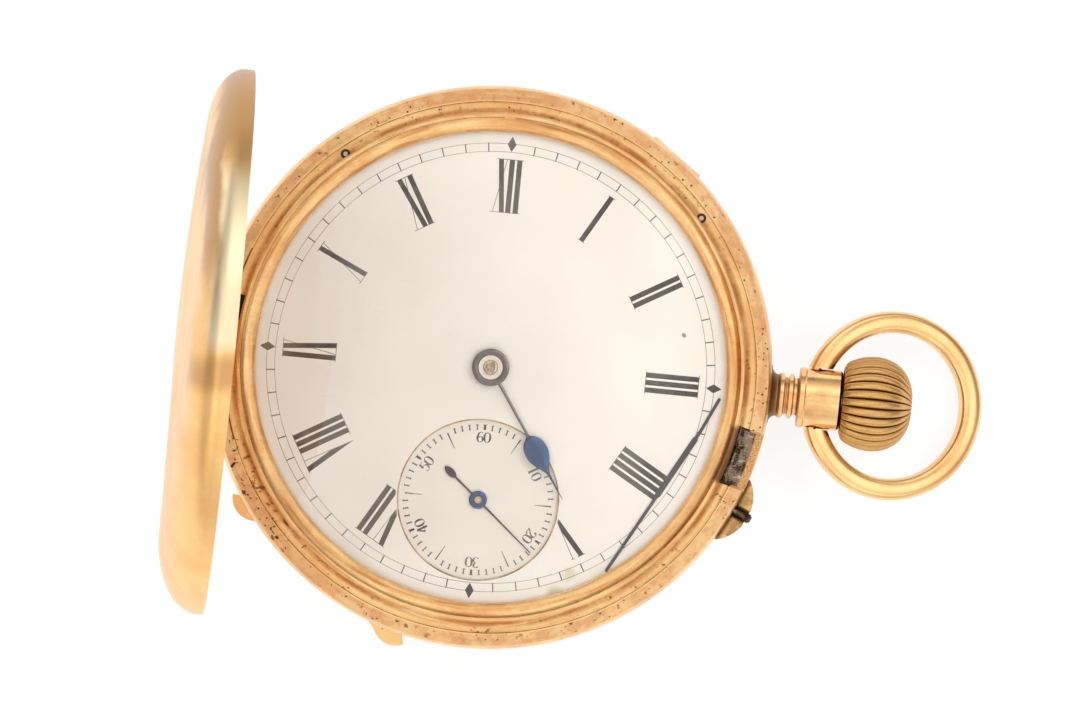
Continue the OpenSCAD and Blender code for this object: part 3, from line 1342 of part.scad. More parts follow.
// Points of one side of the hour hand, from its hub to its tip: distance and half width
hour_side = [[1.2, 0.3], [2.2, 0.17], [6.0, 0.2], [6.9, 0.34], [7.8, 0.72], [8.6, 0.97], [9.3, 0.9],
    [9.9, 0.55], [10.5, 0.3], [11.5, 0.2]];

module hour_hand() {
    tip = hour_len / 13.2;
    side = [for (p = hour_side) [p[0] * tip, p[1]]];
    t = hour_hand_z[1] - hour_hand_z[0];
    color("midnightblue") translate([0, 0, hour_hand_z[0]]) rotate(90 - hour_a) difference() {
        union() {
            disc(1.65, 0, t, [0, 0], 64);
            linear_extrude(t) polygon(concat(side, [[hour_len, 0]],
                back_to_front([for (p = side) [p[0], -p[1]]])));
        }
        disc(hour_pipe_r, -1, 1, [0, 0], 48);
    }
}

// The minute hand has come off and lies under the crystal
loose_hand = [for (p = [[0.976, -0.043], [0.9067, -0.1914], [0.5694, -0.8086]]) p * dial_r];

module minute_hand() {
    color("midnightblue") {
        link(loose_hand[0], loose_hand[1], 0.28, dial_z1, dial_z1 + 0.14);
        link(loose_hand[1], loose_hand[2], 0.28, dial_z1, dial_z1 + 0.14);
        link(loose_hand[1] + 0.05 * (loose_hand[2] - loose_hand[1]),
            loose_hand[1] + 0.45 * (loose_hand[2] - loose_hand[1]), 0.5, dial_z1, dial_z1 + 0.12);
    }
}

module seconds_hand() {
    z = sub_z1 + 0.12;
    tail = second_tail;
    color("midnightblue") translate([fourth_at[0], fourth_at[1], z]) rotate(90 - second_a) {
        difference() {
            union() {
                disc(0.8, 0, 0.12, [0, 0], 48);
                disc(0.42, 0.1, 0.3, [0, 0], 32);
                linear_extrude(0.12)
                    polygon([[0.5, 0.2], [second_len, 0.05], [second_len, -0.05], [0.5, -0.2]]);
                linear_extrude(0.12) polygon([[-0.5, 0.16], [-tail * 0.62, 0.1], [-tail * 0.75, 0.28],
                    [-tail * 0.88, 0.26], [-tail, 0], [-tail * 0.88, -0.26], [-tail * 0.75, -0.28],
                    [-tail * 0.62, -0.1], [-0.5, -0.16]]);
            }
            disc(0.2, -1, 1, [0, 0], 24);
        }
    }
}

case_middle();
pendant();
stem_sleeve();
bow();
bezel();
crystal();
front_cover();
front_hinge_pin();
back_cover();
back_hinge_pin();
dust_cover();
dust_hinge_pin();
lock_spring();
fly_spring();
spring_screws();
nail_set_guard();
nail_set_pin();
rim_pins();
crown();
stem();
winding_pinion();
clutch();
clutch_yoke();
setting_lever();
crown_wheel();
crown_wheel_screw();
ratchet_wheel();
click();
click_spring();
main_plate();
top_plate();
plate_screws();
balance_cock();
escapement_cock();
cock_screws();
barrel();
barrel_cover();
barrel_arbor();
mainspring();
centre_wheel();
third_wheel();
fourth_wheel();
escape_wheel();
pallet_fork();
balance_wheel();
hairspring();
regulator();
plate_jewels();
cannon_pinion();
minute_wheel();
hour_wheel();
intermediate_wheel();
setting_wheel();
dial();
seconds_dial();
hour_hand();
minute_hand();
seconds_hand();
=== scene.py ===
import math

import bpy
import numpy as np
from mathutils import Matrix, Vector


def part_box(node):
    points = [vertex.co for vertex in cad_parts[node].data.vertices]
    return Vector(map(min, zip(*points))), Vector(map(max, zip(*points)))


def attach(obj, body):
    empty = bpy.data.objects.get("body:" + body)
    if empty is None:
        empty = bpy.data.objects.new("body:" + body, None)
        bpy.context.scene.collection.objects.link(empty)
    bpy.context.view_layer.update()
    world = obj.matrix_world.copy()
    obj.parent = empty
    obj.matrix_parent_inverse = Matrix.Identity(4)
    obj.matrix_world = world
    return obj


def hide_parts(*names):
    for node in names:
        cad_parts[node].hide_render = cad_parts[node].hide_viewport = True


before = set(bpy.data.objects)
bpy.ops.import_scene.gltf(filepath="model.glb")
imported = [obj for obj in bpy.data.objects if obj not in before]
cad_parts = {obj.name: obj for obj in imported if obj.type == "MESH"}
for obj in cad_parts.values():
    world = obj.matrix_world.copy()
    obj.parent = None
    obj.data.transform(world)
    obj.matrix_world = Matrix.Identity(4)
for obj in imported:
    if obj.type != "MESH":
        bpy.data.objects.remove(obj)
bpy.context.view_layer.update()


# Case middle.
# The turned band of gold that everything else is hinged to or sits in. Its top flat is matt and
# pitted from corrosion, the step inside it is polished, and old polish has dried in its corners,
# which are also darkened with painted shade. A ring of painted shadow lies where the bezel sits.

MM = 0.001


class Wire:
    """One output of a shader node; arithmetic on it adds the Math node that does it."""

    def __init__(self, nodes, socket):
        self.nodes, self.socket = nodes, socket

    def math(self, operation, *others):
        values = dict(enumerate((self,) + others))
        return self.nodes.node("ShaderNodeMath", {"operation": operation}, values)

    def most(self, *others):
        """The greatest of this value and the others."""
        greatest = self
        for other in others:
            greatest = greatest.math("MAXIMUM", other)
        return greatest

    def __abs__(self):
        return self.math("ABSOLUTE")

    def __add__(self, other):
        return self.math("ADD", other)

    def __sub__(self, other):
        return self.math("SUBTRACT", other)

    def __rsub__(self, other):
        return self.math("MULTIPLY_ADD", -1.0, other)

    def __mul__(self, other):
        return self.math("MULTIPLY", other)

    def __pow__(self, other):
        return self.math("POWER", other)

    def __gt__(self, other):
        return self.math("GREATER_THAN", other)

    __radd__ = __add__
    __rmul__ = __mul__


class Nodes:
    """A node tree in the making."""

    def __init__(self, tree):
        self.tree = tree

    def plug(self, value, socket):
        if isinstance(value, Wire):
            self.tree.links.new(value.socket, socket)
        else:
            socket.default_value = value

    def node(self, kind, settings=(), sockets=(), out=0):
        """Adds a node: its settings come first, a ramp's stops among them, then its sockets."""
        node = self.tree.nodes.new(kind)
        for name, value in dict(settings).items():
            if name != "stops":
                setattr(node, name, value)
                continue
            points = node.color_ramp.elements
            while len(points) < len(value):
                points.new(1.0)
            for point, (position, colour) in zip(points, value):
                point.position, point.color = position, colour
        for name, value in dict(sockets).items():
            self.plug(value, node.inputs[name])
        return Wire(self, node.outputs[out])

    def part(self, letter, vector):
        """The X, Y or Z of a vector."""
        return self.node("ShaderNodeSeparateXYZ", {}, {0: vector}, out=letter)

    def step(self, value, low, high):
        """0 below low, 1 above high and a smooth rise between them."""
        return self.node("ShaderNodeMapRange", {"interpolation_type": "SMOOTHSTEP"}, {
            "Value": value, "From Min": low, "From Max": high})

    def tint(self, share, first, second):
        """Goes from the first colour to the second with the share."""
        return self.node("ShaderNodeMix", {"data_type": "RGBA"},
                         {0: share, 6: first, 7: second}, out=2)


class Finish(Nodes):
    """A metal, enamel or glass surface in the making: its node tree and its shader."""

    def __init__(self, name, **constants):
        self.material = bpy.data.materials.new(name)
        self.material.use_nodes = True
        super().__init__(self.material.node_tree)
        self.shader = self.tree.nodes["Principled BSDF"]
        self.feed(**constants)
        self.place = self.node("ShaderNodeTexCoord", out="Object")

    def feed(self, **sockets):
        """Sets the shader's sockets, each to a number, a colour or a wire."""
        for name, value in sockets.items():
            self.plug(value, self.shader.inputs[name.replace("_", " ")])
        return self.material

    def moved(self, stretch=(1, 1, 1), turn=(0, 0, 0), at=(0, 0, 0)):
        """The surface's own place in millimetres, moved, turned and stretched in that order."""
        mapping = {"vector_type": "POINT"}
        shift = self.node("ShaderNodeMapping", mapping, {
            "Vector": self.place, "Location": [-MM * a for a in at]})
        return self.node("ShaderNodeMapping", mapping, {
            "Vector": shift, "Rotation": [math.radians(a) for a in turn],
            "Scale": [a / MM for a in stretch]})

    def grain(self, scale, detail=3.0, rough=0.55, **place):
        """Noise with so many lumps to the millimetre."""
        return self.node("ShaderNodeTexNoise", {"noise_dimensions": "3D"}, {
            "Vector": self.moved(**place), "Scale": scale, "Detail": detail,
            "Roughness": rough}, out="Fac")

    def cells(self, scale):
        """Distance from the nearest of points strewn so many to the millimetre."""
        return self.node("ShaderNodeTexVoronoi", {"feature": "F1"}, {
            "Vector": self.moved(), "Scale": scale, "Randomness": 1.0}, out="Distance")

    def dents(self, height, depth, strength=1.0, under=None):
        """Bump of that depth in millimetres."""
        sockets = {"Height": height, "Distance": depth * MM, "Strength": strength}
        if under is not None:
            sockets["Normal"] = under
        return self.node("ShaderNodeBump", {}, sockets)

    def away_from(self, x, y):
        """Distance in millimetres from an upright line."""
        return self.node("ShaderNodeVectorMath", {"operation": "LENGTH"}, {
            0: self.moved(stretch=(1, 1, 0), at=(x, y, 0))}, out="Value")

    def level(self):
        """Height above the table in millimetres."""
        return self.part("Z", self.moved())

    def toward(self, degrees):
        """How far the surface lies, in millimetres, from the dial's middle in a direction."""
        a = math.radians(degrees)
        return self.node("ShaderNodeVectorMath", {"operation": "DOT_PRODUCT"}, {
            0: self.moved(), 1: (math.cos(a), math.sin(a), 0)}, out="Value")

    def round_streaks(self, around=3.0, across=2.2):
        """Noise drawn out along circles about the upright axis, as turning and wiping leave it."""
        place = self.moved()
        x, y = self.part("X", place), self.part("Y", place)
        line = self.node("ShaderNodeCombineXYZ", {}, {
            0: y.math("ARCTAN2", x) * around, 1: self.away_from(0, 0) * across, 2: self.level()})
        return self.node("ShaderNodeTexNoise", {"noise_dimensions": "3D"}, {
            "Vector": line, "Scale": 1.0, "Detail": 4.0, "Roughness": 0.6}, out="Fac")

    def strokes(self, turn, low=0.66, high=0.72, long=0.12, close=5.0):
        """Fine scratches that run along one direction."""
        lines = self.grain(1.0, 2.0, 0.6, stretch=(long, close, close), turn=turn)
        return self.step(lines, low, high)


def tone(red, green, blue):
    """A colour given in the usual 0 to 255 steps, as linear light."""
    value = np.array([red, green, blue]) / 255
    return (*np.where(value <= 0.04045, value / 12.92, ((value + 0.055) / 1.055) ** 2.4), 1.0)


def shaded(colour, share):
    """The same colour, made darker or brighter by the share."""
    return tuple(share * c for c in colour[:3]) + (1,)


GOLD = tone(250, 210, 150)
RED_GOLD = tone(240, 186, 126)
# Dark brown for dirt, and for painted shade in corners, grooves and at the feet of parts.
GRIME_AND_SHADE = tone(84, 46, 26)


def eaten_flat(f, axis, inner, z):
    """Where the band's top flat lies, its blotches, and the holes that corrosion has eaten in it
    and in the step beside it, most of all at the lower left."""
    flat = f.step(axis, inner, inner + 0.12) * (f.level() > z - 0.03)
    beside = (1 - f.step(axis, inner, inner + 0.1)) * (axis > inner - 1.0)
    cluster = 1 - f.step(f.away_from(-20.5, -13), 3.5, 8.0)
    patchy = f.step(f.grain(0.2, 4.0, 0.65, at=(7, 3, 0)) + 0.1 * cluster, 0.44, 0.6)
    worms = f.step(f.grain(1.5, 5.0, 0.7, at=(5, 5, 1)) + 0.055 * cluster - 0.025, 0.6, 0.63)
    dots = 1 - f.step(f.cells(1.7) - 0.12 * patchy, 0.0, 0.04)
    holes = (worms * (0.35 + 0.65 * patchy)).most(dots) * flat.most(beside * 0.6)
    return flat, f.grain(0.8, 5.0, 0.7, at=(3, 9, 0)), holes


def worn_gold(name, polish=0.2, wear=1.0, pits=0.0, dirt_and_shade_creases=(), matt=None, painted_shade_rings=(), turned=0.0,
              painted_shadow_mark=None):
    """Old polished gold. polish is its roughness where it is cleanest, wear how much it is
    scratched and soiled, and pits how far it is pitted; creases lists (radius, height, width) of
    corners darkened with dried polish and painted shade; matt gives the inner radius and the height
    of a flat that has lost its polish; shades lists (inner radius, outer radius, share) of rings
    browned with painted shade and painted reflection; turned is the share of brown streaks round
    the axis; smudge gives (degrees, half its length, inner radius, outer radius) of a brown mark on
    a ring, a painted shadow and reflection of a part beside it."""
    f = Finish(name, Metallic=1.0)
    cloud = f.grain(0.16, 4.0, 0.6)
    fine = f.grain(2.2, 4.0, 0.65)
    colour = f.tint(f.step(cloud + 0.25 * (fine - 0.5), 0.38, 0.68), GOLD, RED_GOLD)
    marks = f.strokes((10, 5, 32)) + f.strokes((-8, 12, -51)) + f.strokes((4, -9, 85), 0.68, 0.73)
    rough = polish + 0.12 * wear * cloud + 0.1 * wear * fine + 0.1 * wear * marks
    grime_and_shade = f.step(f.grain(0.9, 5.0, 0.7), 0.62, 0.78) * (0.5 * wear)
    bump = f.dents(f.grain(0.35, 2.0, 0.5), 0.06, 0.6 * wear)
    bump = f.dents(fine, 0.006, 0.6 * wear, bump)
    bump = f.dents(1 - marks, 0.003 * wear, 0.6, bump)
    axis = f.away_from(0, 0)
    height = f.level()
    # Corners darkened with dried polish and with painted shade.
    for radius, z, width in dirt_and_shade_creases:
        across = ((axis - radius) * (axis - radius) + (height - z) * (height - z)) ** 0.5
        ragged = across + width * (f.grain(1.1, 5.0, 0.75) - 0.5)
        grime_and_shade = grime_and_shade.most((1 - f.step(ragged, 0.1 * width, 0.9 * width)) * 0.85)
    # Rings browned with painted shade and painted reflection.
    for inner, outer, share in painted_shade_rings:
        soft = 0.35 * (outer - inner)
        ring = f.step(axis, inner - soft, inner + soft) * (1 - f.step(axis, outer - soft, outer + soft))
        streaky = f.step(f.grain(0.22, 5.0, 0.65, at=(1, 8, 4)) + 0.2 * (fine - 0.5), 0.35, 0.62)
        colour = f.tint(ring * (0.35 + 0.65 * streaky) * share, colour, tone(182, 112, 54))
    if turned:
        streaks = f.round_streaks()
        colour = f.tint(f.step(streaks, 0.48, 0.68) * turned, colour, tone(190, 122, 62))
        colour = f.tint(f.step(streaks, 0.45, 0.32) * turned * 0.7, colour, tone(254, 220, 168))
    # A brown mark of painted shadow and reflection from a part beside the ring.
    if painted_shadow_mark:
        lean, half, inner, outer = painted_shadow_mark
        along = abs(f.toward(lean + 90)) + 0.6 * (fine - 0.5)
        mark = f.step(axis + 0.4 * (fine - 0.5), inner, inner + 0.3)
        mark = mark * (1 - f.step(axis, outer, outer + 0.1)) * (f.toward(lean) > 0.0)
        grime_and_shade = grime_and_shade.most(mark * (1 - f.step(along, half - 0.3, half + 0.3)) * 0.75)
    if matt:
        flat, blotch, holes = eaten_flat(f, axis, *matt)
        rough = rough + 0.26 * flat * (0.4 + blotch)
        colour = f.tint(flat * f.step(blotch, 0.42, 0.6) * 0.7, colour, tone(222, 172, 130))
        colour = f.tint(flat * f.step(blotch, 0.55, 0.4) * 0.4, colour, tone(226, 198, 162))
        grime_and_shade = grime_and_shade.most(holes * 0.9)
        bump = f.dents(1 - holes, 0.06, 0.9, bump)
    if pits:
        hole = 1 - f.step(f.cells(0.8) - f.grain(0.5, 2.0) * 0.16 * pits, 0.0, 0.05)
        grime_and_shade = grime_and_shade.most(hole * 0.7)
        bump = f.dents(1 - hole, 0.03, 0.6, bump)
    colour = f.tint(grime_and_shade, colour, GRIME_AND_SHADE)
    rough = rough + 0.35 * grime_and_shade
    return f.feed(Base_Color=colour, Roughness=rough, Normal=bump)


def new_piece(name, points, faces, finish):
    """A mesh object from an array of points in millimetres and a list of arrays of faces."""
    mesh = bpy.data.meshes.new(name)
    mesh.from_pydata((points * MM).tolist(), [], [row for f in faces for row in f.tolist()])
    mesh.materials.append(finish)
    piece = bpy.data.objects.new(name, mesh)
    bpy.context.scene.collection.objects.link(piece)
    return piece


def put(name, points, faces, finish, crease=30.0):
    """Makes a closed skin, turned outwards by the sign of the volume that it holds, which shades
    smoothly across edges blunter than the crease."""
    faces = [np.asarray(f) for f in (faces if isinstance(faces, list) else [faces])]
    points = np.asarray(points, float)
    fans = [np.stack([f[:, 0], f[:, k], f[:, k + 1]], 1) for f in faces
            for k in range(1, f.shape[1] - 1)]
    a, b, c = (points[np.concatenate(fans)[:, k]] for k in range(3))
    if np.einsum("ij,ij->", a, np.cross(b, c)) < 0:
        faces = [f[:, ::-1] for f in faces]
    piece = new_piece(name, points, faces, finish)
    piece.data.shade_smooth()
    piece.data.set_sharp_from_angle(angle=math.radians(crease))
    piece.data.update()
    return piece


def node_skin(node):
    """A node's points in millimetres and its triangles, with points that coincide made one."""
    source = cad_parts[node].data
    place = np.empty(len(source.vertices) * 3, np.float32)
    source.vertices.foreach_get("co", place)
    corner = np.empty(len(source.loops), np.int32)
    source.loops.foreach_get("vertex_index", corner)
    apart = 1e-4  # points closer than this, in millimetres, are one
    steps = np.round(place.reshape(-1, 3).astype(float) / (MM * apart)).astype(np.int64)
    points, back = np.unique(steps, axis=0, return_inverse=True)
    faces = back.reshape(-1)[corner].reshape(-1, 3)
    thin = (faces[:, 0] == faces[:, 1]) | (faces[:, 1] == faces[:, 2]) | (faces[:, 2] == faces[:, 0])
    return points * apart, faces[~thin]


def dressed(node, body, finish, crease=30.0):
    """The node's own form as one joined skin that shades smoothly over its turned profile."""
    points, faces = node_skin(node)
    piece = put(node + "_skin", points, faces, finish, crease)
    even = piece.modifiers.new("even", "WEIGHTED_NORMAL")
    even.mode, even.keep_sharp, even.weight = "FACE_AREA_WITH_ANGLE", True, 90
    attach(piece, body)
    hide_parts(node)
    return piece


knuckle_stands = 0.05  # how far the hinge knuckles stand over the flat
rim_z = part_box("case_middle")[1].z / MM - knuckle_stands
# Its corners carry dried polish and painted shade, and a painted shadow rings the bezel's foot.
band_gold = worn_gold("band gold", polish=0.22, wear=1.0, pits=0.5,
                      dirt_and_shade_creases=[(23.58, rim_z - 0.55, 0.16), (25.0, 5.9, 0.4)], matt=(23.6, rim_z),
                      painted_shade_rings=[(22.4, 22.98, 0.9)], turned=0.35)
dressed("case_middle", "case", band_gold)


# Pendant and its sleeve.
# The pendant is a turned gold neck, brazed to the band at 3 o'clock, with a bead and a groove
# under a plain collar. A brass sleeve holds the stem in it.

def neck_gold():
    """Gold darkened with dirt and painted shade at the foot of the neck, in its grooves and where the
    crown meets it.
    """
    f = Finish("neck gold", Metallic=1.0)
    along = f.part("X", f.moved())
    cloud = f.grain(0.5, 4.0, 0.6)
    # Painted shade with dirt at the foot by the band, in two grooves and at the crown's edge.
    foot = 1 - f.step(along + 0.5 * cloud, 25.5, 26.3)
    groove = 1 - f.step(abs(along - 27.3) + 0.2 * cloud, 0.12, 0.3)
    second = 1 - f.step(abs(along - 26.3) + 0.15 * cloud, 0.1, 0.22)
    end = f.step(along + 0.3 * cloud, 31.15, 31.4)
    spots = f.step(f.grain(1.2, 5.0, 0.7), 0.66, 0.8)
    grime_and_shade = (foot * 0.85).most(groove * 0.7, second * 0.6, end * 0.5, spots * 0.5)
    marks = f.strokes((0, 0, 80), close=7) + f.strokes((20, 5, 12))
    colour = f.tint(f.step(cloud, 0.35, 0.7), GOLD, tone(240, 186, 130))
    bump = f.dents(f.grain(0.6, 2.0), 0.04, 0.5)
    bump = f.dents(1 - marks, 0.004, 0.6, bump)
    return f.feed(Base_Color=f.tint(grime_and_shade, colour, GRIME_AND_SHADE), Normal=bump,
                  Roughness=0.13 + 0.1 * cloud + 0.1 * marks + 0.35 * grime_and_shade)


dressed("pendant", "case", neck_gold())


def plain_brass(name, colour, rough):
    """Drawn brass, dull in clouds."""
    f = Finish(name, Metallic=1.0)
    cloud = f.grain(0.8, 4.0, 0.6)
    return f.feed(Base_Color=f.tint(cloud * 0.6, colour, shaded(colour, 0.45)),
                  Roughness=rough + 0.15 * cloud, Normal=f.dents(f.grain(6.0, 3.0), 0.003, 0.5))


def give(finish, *nodes):
    """Gives a finish to CAD nodes whose own form stays."""
    for node in nodes:
        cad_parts[node].data.materials[0] = finish


give(plain_brass("sleeve brass", tone(196, 160, 96), 0.3), "stem_sleeve")


# Bow.
# The bow is a gold ring of flattened wire whose ends are pinned in the sides of the collar. It is
# worn bright on its outside and duller along its edges.

bow_gold = worn_gold("bow gold", polish=0.1, wear=0.8)
dressed("bow", "bow", bow_gold, crease=40)


# Crown.
# The winding crown is a hollow ball of gilt brass, pressed with 30 convex ridges that run together
# at its outer end. The narrow grooves are darkened with painted shade.

crown_low, crown_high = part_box("crown")
crown_x0, crown_x1 = crown_low.x / MM, crown_high.x / MM
crown_z = (crown_low.z + crown_high.z) / 2 / MM
crown_long, crown_radius, ridge_height = crown_x1 - crown_x0, 4.22, 0.4
hollow_radius, hollow_end = 2.78, crown_x0 + 0.95
crown_shape = np.array([  # share of the length, share of the radius, share of the ridge height
    (0.0, 0.715, 0.15), (0.03, 0.80, 0.6), (0.07, 0.852, 0.9), (0.12, 0.892, 1.0), (0.25, 0.964, 1.0),
    (0.4, 0.998, 1.0), (0.5, 0.998, 1.0), (0.62, 0.966, 1.0), (0.74, 0.888, 1.0),
    (0.84, 0.775, 0.95), (0.92, 0.62, 0.85), (0.97, 0.46, 0.7), (0.992, 0.34, 0.45), (1.0, 0.27, 0.2)])


def smooth_line(points, count):
    """A smooth curve through the points, at count places: each stretch is a cubic whose slope at
    a point is half the step from the point before it to the one after it."""
    points = np.asarray(points, float)
    ends = np.vstack([2 * points[0] - points[1], points, 2 * points[-1] - points[-2]])
    at = np.linspace(0, len(points) - 1, count)
    k = np.minimum(at.astype(int), len(points) - 2)
    t = (at - k)[:, None]
    p0, p1, p2, p3 = (ends[k + i] for i in range(4))
    return p1 + 0.5 * t * (p2 - p0 + t * (2 * p0 - 5 * p1 + 4 * p2 - p3
                                         + t * (3 * (p1 - p2) + p3 - p0)))


def woven(rows, columns, around=True, along=False):
    """Quads of a grid of points, joined to a ring across its columns or its rows where asked."""
    i = np.arange(rows if along else rows - 1)[:, None]
    j = np.arange(columns if around else columns - 1)[None, :]
    up, on = (i + 1) % rows, (j + 1) % columns
    i, j, up, on = np.broadcast_arrays(i, j, up, on)
    return np.stack([i * columns + j, i * columns + on, up * columns + on, up * columns + j],
                    -1).reshape(-1, 4)


def ridged_ball(ridges=30, per=12, rings=70):
    """Radius as a function of the length u and the turn v: the profile's radius at u, less the
    ridge height times 1 - sqrt(1 - s * s), where s runs from -1 to 1 over each ridge."""
    u, radius, deep = smooth_line(crown_shape, rings).T
    n = ridges * per
    turn = np.arange(n) / n
    s = 2 * ((turn * ridges) % 1.0) - 1
    dip = 1 - np.sqrt(1 - np.minimum(s * s, 0.985))
    r = radius[:, None] * crown_radius - ridge_height * deep[:, None] * dip
    a = 2 * np.pi * turn
    ball = np.stack([np.broadcast_to((crown_x0 + u * crown_long)[:, None], r.shape),
                     r * np.cos(a), crown_z + r * np.sin(a)], -1).reshape(-1, 3)
    hollow = np.array([(crown_x0, hollow_radius), (hollow_end, hollow_radius), (hollow_end, 0.1)])
    back = np.stack([np.repeat(hollow[:, 0], n), np.outer(hollow[:, 1], np.cos(a)).ravel(),
                     crown_z + np.outer(hollow[:, 1], np.sin(a)).ravel()], -1)
    points = np.vstack([ball, back, [(crown_x1, 0, crown_z)], [(hollow_end, 0, crown_z)]])
    quads = woven(rings, n)
    first, j = rings * n, np.arange(n)
    k = (j + 1) % n
    mouth = np.stack([j, first + j, first + k, k], -1)
    inside = woven(3, n)[:, ::-1] + first
    tip = np.stack([(rings - 1) * n + j, (rings - 1) * n + k, np.full(n, first + 3 * n)], -1)
    well = np.stack([first + 2 * n + k, first + 2 * n + j, np.full(n, first + 3 * n + 1)], -1)
    groove = np.concatenate([np.broadcast_to(dip, (rings, n)).ravel(), np.ones(3 * n), [0.3, 1]])
    return points, [np.vstack([quads, mouth, inside]), np.vstack([tip, well])], groove


def crown_brass():
    """Gilt brass, darkened with painted shade deep in the grooves, where the groove attribute nears 1.
    """
    f = Finish("crown brass", Metallic=1.0)
    groove = f.node("ShaderNodeAttribute", {"attribute_name": "groove"}, out="Fac")
    cloud = f.grain(0.7, 4.0, 0.6)
    fine = f.grain(5.0, 4.0, 0.7)
    # Painted shade in the narrow grooves.
    dark = f.step(groove + 0.12 * (fine - 0.5), 0.12, 0.75)
    worn = f.step(cloud + 0.25 * (fine - 0.5), 0.55, 0.72)
    colour = f.tint(worn, tone(222, 174, 110), tone(238, 182, 118))
    colour = f.tint(f.step(f.grain(12.0, 2.0), 0.45, 0.65) * 0.35, colour, tone(150, 112, 64))
    colour = f.tint(dark * 0.9, colour, tone(70, 50, 28))
    return f.feed(Base_Color=colour, Roughness=0.22 + 0.16 * fine + 0.3 * dark,
                  Normal=f.dents(fine, 0.012, 0.6))


crown_points, crown_faces, crown_groove_shade = ridged_ball()
crown = put("crown_ball", crown_points, crown_faces, crown_brass(), 60)
depth = crown.data.attributes.new("groove", "FLOAT", "POINT")
depth.data.foreach_set("value", crown_groove_shade.astype(np.float32))
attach(crown, "crown")
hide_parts("crown")


# Bezel.
# The bezel is a thin gold ring that snaps on to the band and grips the crystal. Its inside falls
# in a hollow curve to the glass. Its foot and its edge by the glass are darkened with painted
# shade, brown painted reflections lie across it, and a painted mark beside the catch stands in
# for the catch's shadow and reflection.

bezel_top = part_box("bezel")[1].z / MM
# Painted shade at the foot and by the glass, painted reflection between, and a painted shadow of the
# catch.
bezel_gold = worn_gold("bezel gold", polish=0.2, wear=0.8,
                       dirt_and_shade_creases=[(21.05, bezel_top - 0.95, 0.14), (22.62, bezel_top - 1.5, 0.3)],
                       painted_shade_rings=[(22.45, 22.8, 0.8), (20.9, 21.15, 0.5), (21.3, 22.2, 0.35)],
                       turned=0.75, painted_shadow_mark=(-14.7, 2.6, 21.7, 22.9))
dressed("bezel", "case", bezel_gold)


# Crystal.
# The crystal is a thin, low domed glass, pressed into the bezel's groove.

glass = Finish("crystal glass", Roughness=0.0, IOR=1.45, Transmission_Weight=1.0)
glass.feed(Base_Color=glass.tint(glass.grain(0.1, 2.0) * 0.3, (1, 1, 1, 1), (0.97, 0.98, 0.97, 1)),
           Roughness=0.02 * glass.step(glass.grain(0.6, 4.0, 0.7), 0.55, 0.9))
dressed("crystal", "case", glass.material)


# Front cover.
# One sheet of gold, pressed to a shallow dome with a rounded shoulder and a snap groove inside its
# wall, and a little dented from use. Its middle knuckle is brazed on and turns on a steel pin.

hinge_x, hinge_z, open_angle = -24.05, rim_z - 0.45, math.radians(86.5)
cover_r, cover_deep, cover_sheet, cover_z0 = 23.5, 4.55, 0.4, rim_z - 0.55
rim_edge, groove_deep = 0.06, 0.12
knuckle_bore, knuckle_r, knuckle_half = 0.23, 0.5, 1.5


def opened(points):
    """Turns points of the closed front cover about its hinge to where it stands open."""
    x, y, z = points[:, 0] - hinge_x, points[:, 1], points[:, 2] - hinge_z
    c, s = math.cos(open_angle), math.sin(open_angle)
    return np.stack([hinge_x + c * x - s * z, y, hinge_z + s * x + c * z], -1)


def lid_profile(radius, deep, wall, shoulder, sag, count=22):
    """Half of a lid's section as (radius, height): a straight wall, a quarter of an ellipse for
    the shoulder and a shallow arc to the middle."""
    half = radius - shoulder
    big = (half * half + sag * sag) / (2 * sag)
    a = np.linspace(0, math.radians(84), count)
    b = np.linspace(math.asin(half / big), 0, count + 8)[1:]
    return np.vstack([[(radius, 0), (radius, wall * 0.5)],
                      np.stack([half + shoulder * np.cos(a),
                                wall + (deep - sag - wall) * np.sin(a)], -1),
                      np.stack([big * np.sin(b), deep - big + big * np.cos(b)], -1)])


def dented(x, y, height):
    """How far the sheet is pushed in at x, y: broad shallow dents, each exp(-d * d), that fade
    out where the dome is low."""
    dents = [  # x, y, depth, width
        (-14, 9, 0.22, 6.0), (6, 14, 0.16, 5.0), (12, -3, 0.12, 4.0), (-3, -9, 0.14, 7.0),
        (17, 9, 0.16, 4.5), (-8, -17, 0.08, 4.0), (2, 3, 0.06, 5.0), (16, -13, 0.1, 5.0)]
    push = sum(d * np.exp(-((x - a) ** 2 + (y - b) ** 2) / w ** 2) for a, b, d, w in dents)
    return push * np.clip(height / 2.5, 0, 1)


def lid_line(shoulder, sag, wall):
    """The sheet's whole section: outer line, rim, snap groove and inner line."""
    inside = cover_r - cover_sheet
    outer = lid_profile(cover_r, cover_deep, wall, shoulder, sag)
    inner = lid_profile(inside, cover_deep - cover_sheet, wall, shoulder - 0.2, sag)
    groove = [(inside, 0.44), (inside + groove_deep, 0.48), (inside + groove_deep, 0.66),
              (inside, 0.7)]
    rim = [(cover_r, rim_edge), (cover_r - rim_edge, 0), (inside + rim_edge, 0), (inside, rim_edge)]
    line = np.vstack([outer[:0:-1], rim, groove, inner[1:]])
    return line[np.abs(line[:, 0]) > 1e-6]


